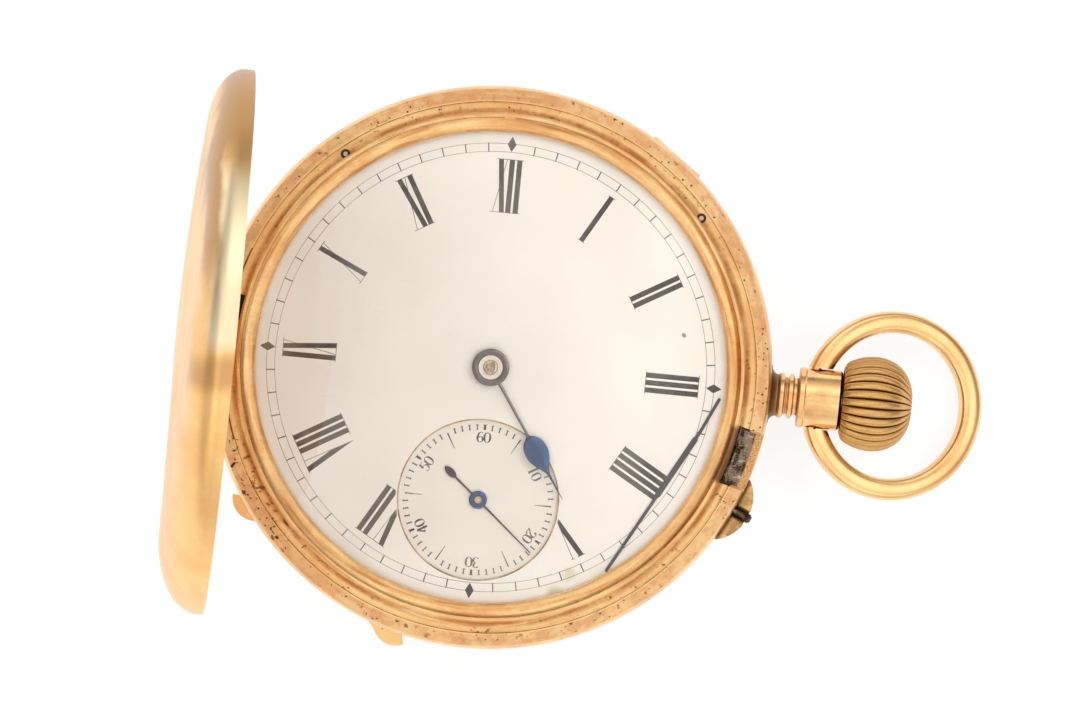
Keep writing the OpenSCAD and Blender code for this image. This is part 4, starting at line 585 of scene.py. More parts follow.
def pressed_lid(turns=180):
    """The section turned about the axis. It passes from a tight shoulder to a broad, fuller one
    as (1 - sin a) / 2 to the power 3 goes from 0 at 12 o'clock to 1 at 6 o'clock, and the dents
    are pushed into both faces alike."""
    a = np.linspace(0, 2 * np.pi, turns, endpoint=False)
    share = ((1 - np.sin(a)) / 2) ** 3
    tight = lid_line(shoulder=5.0, sag=0.95, wall=0.8)
    broad = lid_line(shoulder=6.8, sag=0.15, wall=0.5)
    line = tight[:, :, None] + (broad - tight)[:, :, None] * share
    x, y, z = line[:, 0] * np.cos(a), line[:, 0] * np.sin(a), line[:, 1]
    z = cover_z0 + z - dented(x, y, z)
    points = np.stack([x, y, z], -1).reshape(-1, 3)
    rows = len(line)
    top = cover_z0 + cover_deep - dented(0, 0, cover_deep)
    points = np.vstack([points, [(0, 0, top)], [(0, 0, top - cover_sheet)]])
    j = np.arange(turns)
    k = (j + 1) % turns
    middle = np.stack([j, k, np.full(turns, rows * turns)], -1)
    well = np.stack([(rows - 1) * turns + k, (rows - 1) * turns + j,
                     np.full(turns, rows * turns + 1)], -1)
    return opened(points), [woven(rows, turns)[:, ::-1], np.vstack([middle, well])]


def knuckle_tube(bore, radius, half, count=40, edge=0.06):
    """A short tube on the hinge's axis with softened ends: a closed profile turned about it."""
    line = np.array([(bore, -half), (radius - edge, -half), (radius, edge - half),
                     (radius, half - edge), (radius - edge, half), (bore, half)])
    a = np.linspace(0, 2 * np.pi, count, endpoint=False)
    points = np.stack([hinge_x + np.outer(line[:, 0], np.cos(a)),
                       np.broadcast_to(line[:, 1:2], (len(line), count)),
                       hinge_z + np.outer(line[:, 0], np.sin(a))], -1).reshape(-1, 3)
    return points, [woven(len(line), count, along=True)]


def toned_gold():
    """The open cover's gold: a brown crescent of painted dark reflection along the shoulder towards
    12 o'clock, a paler strip of painted highlight between it and the rim, and a brown patch at the
    middle of the free edge."""
    f = Finish("front cover gold", Metallic=1.0)
    cloud = f.grain(0.16, 4.0, 0.6)
    fine = f.grain(2.2, 4.0, 0.65)
    colour = f.tint(f.step(cloud + 0.2 * (fine - 0.5), 0.38, 0.68), tone(249, 205, 140),
                    tone(243, 190, 124))
    marks = f.strokes((10, 5, 32)) + f.strokes((-8, 12, -51))
    place = f.moved(at=(hinge_x, 0, hinge_z), turn=(0, -math.degrees(math.pi / 2 - open_angle), 0))
    deep, up_dial, from_hinge = f.part("X", place) * -1.0, f.part("Y", place), f.part("Z", place)
    # The brown crescent along the shoulder and the brown at the top are painted dark reflection; the
    # patch by the free edge is brown as well.
    wander = deep + 1.3 * (f.grain(0.22, 3.0) - 0.5)
    middle = 2.9 - ((15.0 - up_dial) * 0.05).most((up_dial - 15.0) * 0.15)
    brown = 1 - f.step(abs(wander - middle), 0.3, 1.05)
    brown = brown * f.step(up_dial, 0.0, 9.0)
    across = 1 - f.step(abs(up_dial + 2.6 + 2.0 * (cloud - 0.5)), 0.4, 2.2)
    across = across * f.step(from_hinge + 4.0 * (cloud - 0.5), 42.0, 46.0)
    top = f.step(up_dial + 3.0 * (cloud - 0.5), 13.5, 17.5) * (1 - f.step(deep - middle, -0.3, 0.8))
    brown = brown.most(across * 0.7, top)
    # Painted highlight: a pale streak between the crescent and the rim.
    pale = (1 - f.step(wander, 1.9, 2.7)) * f.step(up_dial, -1.5, 0.5)
    pale = pale * (1 - f.step(up_dial, 12.0, 16.5))
    colour = f.tint(pale, colour, tone(255, 240, 202))
    colour = f.tint(brown * 0.9, colour, tone(182, 138, 88))
    bump = f.dents(f.grain(0.35, 2.0, 0.5), 0.06, 0.25, f.dents(fine, 0.006, 0.3))
    return f.feed(Base_Color=colour, Roughness=0.27 + 0.06 * cloud + 0.05 * fine + 0.05 * marks,
                  Normal=f.dents(1 - marks, 0.002, 0.5, bump))


cover_points, cover_faces = pressed_lid()
front_cover = put("front_cover_sheet", cover_points, cover_faces, toned_gold(), 40)
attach(front_cover, "front_lid")
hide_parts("front_cover")
cover_gold = worn_gold("cover gold", polish=0.27, wear=0.45, pits=0.2)
knuckle_points, knuckle_faces = knuckle_tube(knuckle_bore, knuckle_r, knuckle_half)
knuckle = put("front_cover_knuckle", knuckle_points, knuckle_faces, cover_gold, 40)
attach(knuckle, "front_lid")


# Back covers.
# Two more pressed sheets close the back: the outer cover, worn flat where the watch lies, and the
# inner dust cover, each with a thumb lip by its edge.

for node, body in (("back_cover", "back_lid"), ("dust_cover", "dust_lid")):
    dressed(node, body, cover_gold, crease=25)


# Springs, pins and guard.
# Steel springs in the band lock and lift the front cover. Steel has gone grey and brown with age;
# the guard beside the nail-set pin is gold.

def old_steel(name, rust=0.5, polish=0.28, grain=tone(150, 142, 132), outside=None):
    """Grey steel, scratched, with brown rust in streaks; outside gives the radius beyond which a
    film of gold from the band's rim has been rubbed on it."""
    f = Finish(name, Metallic=1.0)
    cloud = f.grain(1.0, 5.0, 0.7, stretch=(2.0, 0.8, 1.0), turn=(0, 0, 16))
    fine = f.grain(7.0, 4.0, 0.7)
    spots = f.step(cloud + 0.35 * (fine - 0.5), 0.46, 0.6) * rust
    marks = f.strokes((0, 0, 40), 0.6, 0.68, long=0.4, close=9) + f.strokes((0, 0, -20), long=0.3)
    colour = f.tint(fine, grain, shaded(grain, 1.5))
    colour = f.tint(spots, colour, tone(76, 56, 44))
    flecks = f.step(f.grain(3.2, 3.0, 0.6, stretch=(0.45, 1.6, 1.0), turn=(0, 0, 16)), 0.6, 0.66)
    colour = f.tint(flecks * rust * 0.8, colour, tone(206, 196, 184))
    if outside:
        rubbed = f.away_from(0, 0) + 0.15 * (cloud - 0.5)
        colour = f.tint(f.step(rubbed, outside - 0.05, outside + 0.05), colour,
                        f.tint(f.step(fine, 0.4, 0.6), tone(232, 182, 128), tone(190, 138, 92)))
    bump = f.dents(cloud, 0.12 * rust, 0.9, f.dents(fine, 0.014, 0.7))
    return f.feed(Base_Color=colour, Roughness=polish + 0.2 * fine + 0.3 * spots,
                  Normal=f.dents(marks, 0.012, 0.7, bump))


catch_steel = old_steel("catch steel", rust=1.0, polish=0.3, grain=tone(128, 114, 98), outside=24.2)
rusty_steel = old_steel("rusty steel", rust=1.0, polish=0.3, grain=tone(112, 98, 84))
clean_steel = old_steel("clean steel", rust=0.15, polish=0.2)
give(catch_steel, "lock_spring")
give(rusty_steel, "fly_spring", "nail_set_pin")
give(old_steel("pin steel", rust=0.4, grain=tone(190, 180, 166)), "rim_pins")
give(clean_steel, "front_hinge_pin", "back_hinge_pin", "dust_hinge_pin", "spring_screws")


def dirt(name, colour=(52, 34, 22)):
    """Black-brown and quite matt, as dried oil and dust; the slot by the front hinge uses it as painted
    shadow.
    """
    f = Finish(name)
    fine = f.grain(6.0, 4.0, 0.7)
    return f.feed(Base_Color=f.tint(fine, tone(*colour), tone(*(1.5 * c for c in colour))),
                  Roughness=0.6 + 0.2 * fine)


def turned_ring(line, at, z, turns=72):
    """A closed profile of (radius, height above z) points, turned about an upright axis."""
    line = np.asarray(line, float)
    a = np.linspace(0, 2 * np.pi, turns, endpoint=False)
    points = np.stack([at[0] + np.outer(line[:, 0], np.cos(a)),
                       at[1] + np.outer(line[:, 0], np.sin(a)),
                       np.broadcast_to(line[:, 1:] + z, (len(line), turns))], -1)
    return points.reshape(-1, 3), [woven(len(line), turns, along=True)]


dry_dirt = dirt("dry dirt")
pin_points = node_skin("rim_pins")[0]
dirt_wide, dirt_high, dirt_below = 0.24, 0.06, 0.24  # the dirt's top lies below the pin's end
for side, name in ((-1, "left"), (1, "right")):
    one = pin_points[pin_points[:, 0] * side > 0]
    (x0, y0, _), (x1, y1, pin_top) = one.min(0), one.max(0)
    inner, outer = (x1 - x0) / 2, (x1 - x0) / 2 + dirt_wide
    dirt_points, dirt_faces = turned_ring(
        [(inner, -dirt_high), (outer, -dirt_high), (outer, 0), (inner, 0)],
        ((x0 + x1) / 2, (y0 + y1) / 2), pin_top - dirt_below, 40)
    dirt_ring = put("pin_dirt_" + name, dirt_points, dirt_faces, dry_dirt, 40)
    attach(dirt_ring, "case")


def slot_floor(inner, outer, a0, a1, z, thick=0.03, count=12):
    """A thin plate between two radii and two angles: its top, its underside and its four edges."""
    a, r = np.linspace(a0, a1, count), np.array([inner, outer])
    top = np.stack([np.outer(r, np.cos(a)), np.outer(r, np.sin(a)), np.full((2, count), z)], -1)
    top = top.reshape(-1, 3)
    flat, low, j = woven(2, count, around=False), 2 * count, np.arange(count - 1)
    side = np.stack([j, j + 1, j + 1 + low, j + low], -1)
    ends = np.array([[0, count, low + count, low],
                     [count - 1, low + count - 1, low + 2 * count - 1, low - 1]])
    return np.vstack([top, top - (0, 0, thick)]), np.vstack([
        flat, flat[:, ::-1] + low, ends, side[:, ::-1], side + count])


slot_x, slot_y0, slot_y1 = -22.9, 2.1, 4.4  # the slot in the rim beside the front hinge
slot_inner, slot_outer, slot_z = 22.62, 23.35, rim_z - 0.59
slot_points, slot_faces = slot_floor(slot_inner, slot_outer, math.atan2(slot_y0, slot_x),
                                     math.atan2(slot_y1, slot_x), slot_z)
# A near-black plate in the slot beside the front hinge: painted shadow that darkens the slot.
window = put("fly_spring_slot_shadow", slot_points, slot_faces, dirt("painted slot shadow", (24, 16, 12)), 40)
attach(window, "case")


def guard_gold():
    """Gold gone olive and brown, with painted shade along the band and round the pin, and dark specks.
    """
    f = Finish("guard gold", Metallic=1.0)
    cloud = f.grain(0.8, 4.0, 0.65)
    fine = f.grain(5.0, 4.0, 0.7)
    low, high = (np.array(c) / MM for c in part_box("nail_set_pin"))
    lean = math.atan2(low[1] + high[1], low[0] + high[0])
    from_pin = abs(f.toward(math.degrees(lean) + 90))
    # Painted shade along the band and round the pin's slot.
    band_shadow = 1 - f.step(f.away_from(0, 0) + 0.3 * (cloud - 0.5), 25.05, 25.4)
    pin_shade = 1 - f.step(from_pin + 0.25 * (cloud - 0.5), 0.45, 0.7)
    grime_and_shade = (band_shadow * 0.8).most(pin_shade * 0.75, f.step(fine, 0.6, 0.7) * 0.6)
    colour = f.tint(f.step(cloud, 0.38, 0.62), tone(232, 186, 122), tone(176, 138, 88))
    return f.feed(Base_Color=f.tint(grime_and_shade, colour, tone(62, 42, 26)), Normal=f.dents(fine, 0.02, 0.7),
                  Roughness=0.3 + 0.3 * grime_and_shade)


give(guard_gold(), "nail_set_guard")


# Dial.
# The dial is a copper disc under off-white vitreous enamel. The numerals and the minute ring are
# fired on in a brown-black that has faded unevenly.

dial_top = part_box("dial")[1].z / MM


def enamel(name, glaze, stains=(), edge=None):
    """Glassy off-white with a faint mottle, hair scratches and specks. stains lists (x, y, radius,
    colour); just inside the radius of the edge lies a pinkish band of painted reflection from the
    gold bezel, and at it a dark line of painted shadow and dirt where the bezel meets the enamel."""
    f = Finish(name, IOR=1.5, Coat_Roughness=0.04)
    cloud = f.grain(0.09, 3.0, 0.5)
    fine = f.grain(3.0, 4.0, 0.6)
    colour = f.tint(f.step(cloud, 0.35, 0.7), glaze, shaded(glaze, 0.965))
    hair = f.strokes((0, 0, 24), 0.735, 0.75, long=0.1, close=6) * 0.35
    hair = hair + f.strokes((0, 0, -63), 0.74, 0.755, long=0.1, close=6) * 0.3
    dust = 1 - f.step(f.cells(0.33), 0.012, 0.03)
    colour = f.tint((hair + 0.55 * dust).math("MINIMUM", 0.7), colour, tone(176, 164, 150))
    for x, y, size, shade in stains:
        spot = 1 - f.step(f.away_from(x, y) + 0.7 * (f.grain(1.3, 4.0) - 0.5), size * 0.3, size)
        colour = f.tint(spot * 0.8, colour, shade)
    if edge:
        rim = f.away_from(0, 0) + 0.05 * (f.grain(0.8, 4.0, 0.7) - 0.5)
        # Painted reflection of the gold bezel: a pinkish band inside the edge.
        colour = f.tint(f.step(rim, edge - 0.35, edge - 0.05) * 0.25, colour, tone(226, 190, 160))
        # Painted shadow and dirt: a dark line where the bezel meets the enamel.
        colour = f.tint(f.step(rim, edge - 0.02, edge + 0.03), colour, tone(128, 88, 54))
    return f.feed(Base_Color=colour, Roughness=0.2 + 0.1 * fine + 0.2 * hair,
                  Coat_Weight=0.25, Normal=f.dents(cloud, 0.05, 0.4))


stain = tone(226, 214, 170)
give(enamel("dial enamel", tone(250, 243, 234),
            [(8.7, -17.5, 0.8, stain), (7.6, -19.5, 1.1, tone(216, 200, 150)),
             (16.73, 4.49, 0.22, tone(90, 80, 66))], edge=20.84), "dial")


def ink_finish(name, dark, pale, wear=0.4):
    """Fired ink that has faded in patches and lost specks down to the enamel."""
    f = Finish(name, IOR=1.4)
    cloud = f.grain(0.14, 3.0, 0.5)
    fine = f.grain(7.0, 4.0, 0.7)
    colour = f.tint(f.step(cloud, 0.4, 0.6), dark, pale)
    lost = f.step(f.grain(0.75, 4.0, 0.65, at=(4, 1, 0)) + 0.2 * (fine - 0.5), 0.5, 0.8)
    colour = f.tint((lost * wear).most(f.step(fine, 0.66, 0.72) * 0.5), colour, tone(208, 198, 186))
    return f.feed(Base_Color=colour, Roughness=0.35 + 0.2 * fine)


ink = ink_finish("dial ink", tone(60, 51, 44), tone(104, 93, 84), wear=0.16)
thin_ink = ink_finish("thin ink", tone(112, 99, 86), tone(160, 146, 130), wear=0.3)


def flat_ring(inner, outer, turns=240):
    """A flat ring between two radii, as points and quads."""
    a = np.linspace(0, 2 * np.pi, turns, endpoint=False)
    points = np.concatenate([np.stack([r * np.cos(a), r * np.sin(a)], -1) for r in (inner, outer)])
    return points, woven(2, turns)


def flat_strips(start, end, width0, width1):
    """Straight strips from start to end, arrays of points, each with its width at both ends."""
    start, end = np.atleast_2d(start).astype(float), np.atleast_2d(end).astype(float)
    along = end - start
    side = np.stack([-along[:, 1], along[:, 0]], -1) / np.linalg.norm(along, axis=1)[:, None] / 2
    w0 = np.broadcast_to(np.asarray(width0, float), len(start))[:, None]
    w1 = np.broadcast_to(np.asarray(width1, float), len(start))[:, None]
    points = np.stack([start + side * w0, start - side * w0, end - side * w1, end + side * w1], 1)
    return points.reshape(-1, 2), np.arange(len(start) * 4).reshape(-1, 4)


def round_dial(radius, clock_degrees, across=0.0):
    """Points at a radius and a clock angle, moved across it to the clockwise side."""
    a = np.radians(90 - np.asarray(clock_degrees, float))
    radius, across = np.asarray(radius, float), np.asarray(across, float)
    return np.stack([radius * np.cos(a) + across * np.sin(a),
                     radius * np.sin(a) - across * np.cos(a)], -1)


def spokes(inner, outer, clock_degrees, width0, width1):
    """Strokes that run from radius to radius at each clock angle."""
    return flat_strips(round_dial(inner, clock_degrees), round_dial(outer, clock_degrees),
                       width0, width1)


def print_on(name, shapes, z, finish):
    """Joins flat shapes into one skin of ink that lies at the height z and faces up."""
    points, faces, first = [], [], 0
    for p, f in shapes:
        a, b, c = p[f[:, 0]], p[f[:, 1]], p[f[:, 2]]
        turn = (b - a)[:, 0] * (c - a)[:, 1] - (b - a)[:, 1] * (c - a)[:, 0]
        f = np.where((turn < 0)[:, None], f[:, ::-1], f)
        points.append(p)
        faces.append(f + first)
        first += len(p)
    points = np.vstack(points)
    piece = new_piece(name, np.hstack([points, np.full((len(points), 1), z)]), faces, finish)
    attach(piece, "case")


BAR, HAIR, PITCH = 0.46, 0.06, 0.66  # widths of the strokes, and how far apart the I strokes are
FOOT, HEAD, SERIF = 13.75, 18.45, 0.14  # radii of feet and head, and how far a serif reaches out


def numeral(letters, hour):
    """Strokes of a Roman numeral that stands on the hour, its feet towards the centre. Each is
    (radius, across) at both ends with a width at both ends; a V's broad stroke is a quad. Gives
    the broad strokes and the hairlines."""
    room = {"I": PITCH, "X": 1.0, "V": 1.5 if letters == "V" else 1.76}
    wide = sum(room[c] for c in letters) - (PITCH - BAR)
    at, bars, hairs, vees = -wide / 2, [], [], []
    first = at
    for c in letters:
        if c == "I":
            bars.append((FOOT, at + BAR / 2, HEAD, at + BAR / 2, BAR, BAR))
        elif c == "X":
            bars.append((FOOT, at + 0.68, HEAD, at + 0.25, BAR * 0.95, BAR * 0.95))
            hairs.append((FOOT, at - 0.12, HEAD, at + 0.78, HAIR, HAIR))
            hairs.append((HEAD, at + 0.6, HEAD, at + 0.98, HAIR, HAIR))
            hairs.append((FOOT, at - 0.35, FOOT, at + 0.12, HAIR, HAIR))
        else:
            vees.append([(HEAD, at), (HEAD, at + 0.47), (HEAD - 2.62, at + 0.993), (FOOT, at + 0.94)])
            hairs.append((FOOT, at + 0.94, HEAD, at + 1.06, 0.05, HAIR))
            hairs.append((HEAD, at + 0.9, HEAD, at + 1.22, HAIR, HAIR))
        at += room[c]
    last = at - (PITCH - BAR)
    if letters != "V":
        start = first + (1.5 if "V" in letters else -0.12)
        hairs.append((FOOT, start, FOOT, last + SERIF, HAIR, HAIR))
    end = first + 0.6 if letters == "V" else last + SERIF
    hairs.append((HEAD, first - SERIF, HEAD, end, HAIR, HAIR))
    strokes = []
    for lines in (bars, hairs):
        r0, a0, r1, a1, w0, w1 = np.array(lines).reshape(-1, 6).T
        strokes.append(flat_strips(round_dial(r0, hour * 30, a0), round_dial(r1, hour * 30, a1),
                                   w0, w1))
    points, faces = strokes[0]
    for vee in vees:
        r, a = np.array(vee).T
        faces = np.vstack([faces, np.arange(4) + len(points)])
        points = np.vstack([points, round_dial(r, hour * 30, a)])
    return (points, faces), strokes[1]


def outside_circle(shape, centre, radius, cells=10):
    """Cuts strips finely along their length and drops the cells that fall inside a circle."""
    points, faces = shape
    quad = points[faces]
    t = np.linspace(0, 1, cells * 4 + 1)
    near, far = quad[:, :2], quad[:, 3:1:-1]
    lines = near[:, None] + (far - near)[:, None] * t[None, :, None, None]
    s = np.linspace(0, 1, 7)
    grid = lines[:, :, :1] + (lines[:, :, 1:] - lines[:, :, :1]) * s[None, None, :, None]
    rows, columns = grid.shape[1:3]
    cell = woven(rows, columns, around=False)
    middle = grid.reshape(len(quad), -1, 2)[:, cell].mean(2)
    outside = np.linalg.norm(middle - np.asarray(centre), axis=-1) > radius
    first = (np.arange(len(quad)) * rows * columns)[:, None, None]
    return grid.reshape(-1, 2), (cell[None] + first)[outside]


seconds_at, seconds_r = (0.0, -11.77), 7.14
seconds_gap = 0.16  # how far the numerals stop short of the seconds dial
rail_in, rail_out, rail_wide = 19.085, 19.825, 0.045  # the minute ring's two lines
minute_in, minute_out, minute_wide = 19.08, 19.88, 0.1
diamond_foot, diamond_waist, diamond_tip, diamond_wide = 19.15, 19.8, 20.5, 0.78
ink_thick, hair_thick = 0.006, 0.004  # how far the print stands over the enamel
hours = {12: "XII", 1: "I", 2: "II", 3: "III", 4: "IIII", 5: "V", 7: "VII", 8: "VIII", 9: "IX",
         10: "X", 11: "XI"}
minute = np.arange(60) * 6.0
no_diamond = minute[np.arange(60) % 15 != 0]
dial_print, dial_hairs = zip(*(numeral(letters, hour) for hour, letters in hours.items()))
dial_print, dial_hairs = (
    [outside_circle(shape, seconds_at, seconds_r + seconds_gap) for shape in shapes]
    for shapes in (dial_print, dial_hairs))
dial_print += [spokes(minute_in, minute_out, no_diamond, minute_wide, minute_wide)]
dial_hairs += [flat_ring(rail, rail + rail_wide) for rail in (rail_in, rail_out)]
quarter = np.arange(4) * 90.0
dial_print += [spokes(diamond_foot, diamond_waist, quarter, 0.02, diamond_wide),
               spokes(diamond_waist, diamond_tip, quarter, diamond_wide, 0.02)]
print_on("dial_printing", dial_print, dial_top + ink_thick, ink)
print_on("dial_hairlines", dial_hairs, dial_top + hair_thick, thin_ink)


# Seconds dial.
# The seconds dial is a smaller enamel disc, set into the dial from behind, so a thin line of gilt
# and dirt shows round it. Its figures are drawn with a pen.

seconds_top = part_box("seconds_dial")[1].z / MM
give(enamel("seconds enamel", tone(245, 237, 225)), "seconds_dial")
pen_ink = ink_finish("pen ink", tone(58, 50, 46), tone(112, 102, 92), wear=0.7)

pen_figures = {  # each figure's pen lines in a box one high
    "0": [[(0.31, 0.97), (0.1, 0.82), (0.04, 0.5), (0.1, 0.18), (0.31, 0.03), (0.52, 0.18),
           (0.58, 0.5), (0.52, 0.82), (0.31, 0.97)]],
    "1": [[(0.12, 0.84), (0.24, 0.9), (0.32, 1.0)], [(0.32, 1.0), (0.32, 0.5), (0.32, 0.0)],
          [(0.14, 0.0), (0.32, 0.0), (0.5, 0.0)]],
    "2": [[(0.1, 0.72), (0.16, 0.92), (0.34, 0.98), (0.52, 0.88), (0.54, 0.68), (0.36, 0.42),
           (0.16, 0.2), (0.06, 0.03)], [(0.06, 0.03), (0.24, 0.09), (0.42, 0.02), (0.58, 0.2)]],
    "3": [[(0.1, 0.84), (0.22, 0.97), (0.42, 0.94), (0.5, 0.76), (0.42, 0.58), (0.26, 0.53)],
          [(0.26, 0.53), (0.46, 0.48), (0.56, 0.28), (0.46, 0.08), (0.26, 0.02), (0.08, 0.14)]],
    "4": [[(0.42, 1.0), (0.2, 0.62), (0.03, 0.3)], [(0.03, 0.3), (0.3, 0.3), (0.6, 0.3)],
          [(0.42, 1.0), (0.42, 0.5), (0.42, 0.0)], [(0.28, 0.0), (0.42, 0.0), (0.56, 0.0)]],
    "5": [[(0.14, 0.96), (0.34, 0.93), (0.52, 0.98)], [(0.14, 0.96), (0.12, 0.75), (0.1, 0.52)],
          [(0.1, 0.52), (0.28, 0.62), (0.48, 0.54), (0.56, 0.32), (0.44, 0.08), (0.24, 0.02),
           (0.08, 0.12)]],
    "6": [[(0.5, 0.88), (0.38, 0.97), (0.2, 0.86), (0.07, 0.55), (0.08, 0.25), (0.2, 0.05),
           (0.36, 0.02), (0.52, 0.14), (0.56, 0.32), (0.46, 0.52), (0.3, 0.57), (0.12, 0.42)]]}


def pen_line(points, high, thin=0.022, thick=0.07, count=26):
    """A pen's ribbon along a smooth line. Its half width is thin + thick * u ** 2.5, where u is the
    share of the pen's way that goes up or down, times the figure's height."""
    line = smooth_line(points, count) * high
    along = np.gradient(line, axis=0)
    along /= np.linalg.norm(along, axis=1)[:, None]
    half = high * (thin + thick * np.abs(along[:, 1]) ** 2.5)
    side = np.stack([-along[:, 1], along[:, 0]], -1) * half[:, None]
    grid = np.stack([line + side, line - side], 1)
    return grid.reshape(-1, 2), woven(count, 2, around=False)


def figures_on(centre, radius, clock_degrees, text, high=0.95, advance=0.66):
    """Sets figures on a clock angle of the small dial, their feet towards its centre."""
    shapes = []
    for k, figure in enumerate(text):
        left = (k - len(text) / 2) * advance * high
        for line in pen_figures[figure]:
            points, faces = pen_line(line, high)
            placed = round_dial(radius + points[:, 1], clock_degrees, points[:, 0] + left)
            shapes.append((placed + np.asarray(centre), faces))
    return shapes


def serifs(radius, clock_degrees, half, wide):
    """Short lines across the clock angles at a radius."""
    return flat_strips(round_dial(radius, clock_degrees, -half),
                       round_dial(radius, clock_degrees, half), wide, wide)


figure_foot, mark_in, mark_out, ten_in, ten_out = 5.08, 6.22, 6.64, 6.2, 6.66
seconds_print = []
for second in range(10, 70, 10):
    seconds_print += figures_on(seconds_at, figure_foot, second * 6, str(second))
small = minute[np.arange(60) % 5 != 0]
five, ten = np.arange(6) * 60.0 + 30, np.arange(6) * 60.0
seconds_print += [
    (p + np.array(seconds_at), f) for p, f in (
        spokes(mark_in, mark_out, small, 0.11, 0.11), serifs(mark_out, small, 0.12, 0.05),
        serifs(mark_in, small, 0.1, 0.05), spokes(ten_in, ten_out, ten, 0.2, 0.2),
        serifs(ten_out, ten, 0.18, 0.06), spokes(5.0, 6.5, five, 0.05, 0.13))]
print_on("seconds_printing", seconds_print, seconds_top + ink_thick, pen_ink)


def gilt_edge():
    """The line of gilt, dulled by dirt, where the small dial is let in."""
    f = Finish("seconds edge gilt", IOR=1.4)
    cloud = f.grain(0.5, 4.0, 0.6)
    colour = f.tint(f.step(cloud, 0.4, 0.6), tone(150, 112, 66), tone(206, 176, 128))
    return f.feed(Base_Color=colour, Roughness=0.45 + 0.2 * cloud)


bead_half, bead_high, bead_sunk = 0.08, 0.05, 0.04  # a low bead, half an ellipse
bead = np.linspace(0, np.pi, 9)
bead_line = np.stack([seconds_r + bead_half * np.cos(bead), bead_high * np.sin(bead)], -1)
lip_points, lip_faces = turned_ring(bead_line, seconds_at, dial_top - bead_sunk, 240)
lip = put("seconds_edge", lip_points, lip_faces, gilt_edge(), 60)
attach(lip, "case")


# Hands.
# The hands are steel, filed to shape and blued in a flame. The minute hand has come off and lies
# loose under the crystal; the seconds hand has rusted.

def blued(name, rust=0.1, blue=tone(46, 72, 112), bare=None):
    """Steel blued by heat, which shades to grey and brown where it has worn; bare gives the
    distances from the middle of the dial between which the blue is gone."""
    f = Finish(name, Metallic=0.85)
    cloud = f.grain(0.6, 4.0, 0.6)
    fine = f.grain(8.0, 4.0, 0.7)
    colour = f.tint(f.step(cloud, 0.35, 0.7), blue, shaded(blue, 1.3))
    colour = f.tint(f.step(cloud + 0.4 * (fine - 0.5), 0.5, 0.72) * rust, colour, tone(96, 56, 44))
    if bare:
        axis = f.away_from(0, 0)
        gone = f.step(axis, bare[0], bare[0] + 0.4) * (1 - f.step(axis, bare[1] - 0.4, bare[1]))
        colour = f.tint(gone * 0.9, colour, f.tint(fine, tone(92, 82, 78), tone(128, 116, 108)))
    return f.feed(Base_Color=colour, Roughness=0.3 + 0.15 * fine,
                  Normal=f.dents(fine, 0.006, 0.5))


def blade(sides, rise, base, direction, at=(0, 0), across=13, along=110, edge=0.05, least=0.012):
    """A domed blade: u runs along it, v across. The half width is a smooth line through the
    (distance, half width) pairs, never under least, and over the edge's thickness the height
    rises as rise * (1 - |v|) ** 0.8 to a ridge, which is lower where the blade is narrow."""
    line = smooth_line(sides, along)
    v = np.linspace(-1, 1, across)
    x = np.broadcast_to(line[:, :1], (along, across))
    y = np.outer(np.maximum(line[:, 1], least), v)
    slim = np.minimum(line[:, 1] / 0.5, 1.0)[:, None] * 0.75 + 0.25
    dome = (1 - np.abs(v)) ** 0.8
    top = np.stack([x, y, base + edge + rise * slim * dome], -1)
    low = np.stack([x, y, np.full_like(x, base)], -1)
    a = math.radians(90 - direction)
    grid = np.concatenate([top, low[:, ::-1]], 1)
    turned = np.stack([at[0] + grid[..., 0] * math.cos(a) - grid[..., 1] * math.sin(a),
                       at[1] + grid[..., 0] * math.sin(a) + grid[..., 1] * math.cos(a),
                       grid[..., 2]], -1)
    wide = across * 2
    j = np.arange(across - 1)
    end = np.stack([j, j + 1, wide - 2 - j, wide - 1 - j], -1)
    return turned.reshape(-1, 3), [woven(along, wide), end[:, ::-1], end + (along - 1) * wide]


def together(*shapes):
    """Joins shapes into one list of points and faces."""
    points, faces, first = [], [], 0
    for p, fs in shapes:
        points.append(p)
        faces += [f + first for f in fs]
        first += len(p)
    return np.vstack(points), faces


def soft_ring(inner, outer, z0, z1, edge):
    """A ring's section with its two upper corners cut off."""
    return [(inner, z0), (outer, z0), (outer, z1 - edge), (outer - edge, z1), (inner + edge, z1),
            (inner, z1 - edge)]


hour_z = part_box("hour_hand")[0].z / MM
hour_points_to, seconds_points_to = 146, 130  # degrees clockwise from 12 o'clock
spade = [(1.3, 0.17), (2.4, 0.14), (4.0, 0.13), (5.8, 0.125), (6.8, 0.13), (7.05, 0.3), (7.25, 0.58),
         (7.65, 0.87), (8.15, 1.01), (8.7, 1.02), (9.2, 0.9), (9.75, 0.62), (10.2, 0.35), (10.6, 0.17),
         (11.2, 0.1), (12.4, 0.06), (13.3, 0.02)]
hour_hub = [(1.07, 0), (1.65, 0), (1.65, 0.14), (1.58, 0.2), (1.38, 0.24), (1.17, 0.2), (1.07, 0.12)]
hour_points, hour_faces = together(blade(spade, 0.2, hour_z, hour_points_to, along=160),
                                   turned_ring(hour_hub, (0, 0), hour_z))
hour_hand = put("hour_hand_spade", hour_points, hour_faces,
                blued("blue of the hour hand", blue=tone(46, 68, 104), bare=(-1, 7.2)), 50)
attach(hour_hand, "hour_work")
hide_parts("hour_hand")

post_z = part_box("cannon_pinion")[1].z / MM
post_points, post_faces = together(
    turned_ring(soft_ring(0.36, 0.6, -0.03, 0.05, 0.03), (0, 0), post_z),
    turned_ring(soft_ring(0.02, 0.3, -0.03, 0.12, 0.04), (0, 0), post_z, 4))
post = put("cannon_square", post_points, post_faces,
           old_steel("pale steel", rust=0.7, grain=tone(190, 176, 156)), 30)
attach(post, "minute_work")

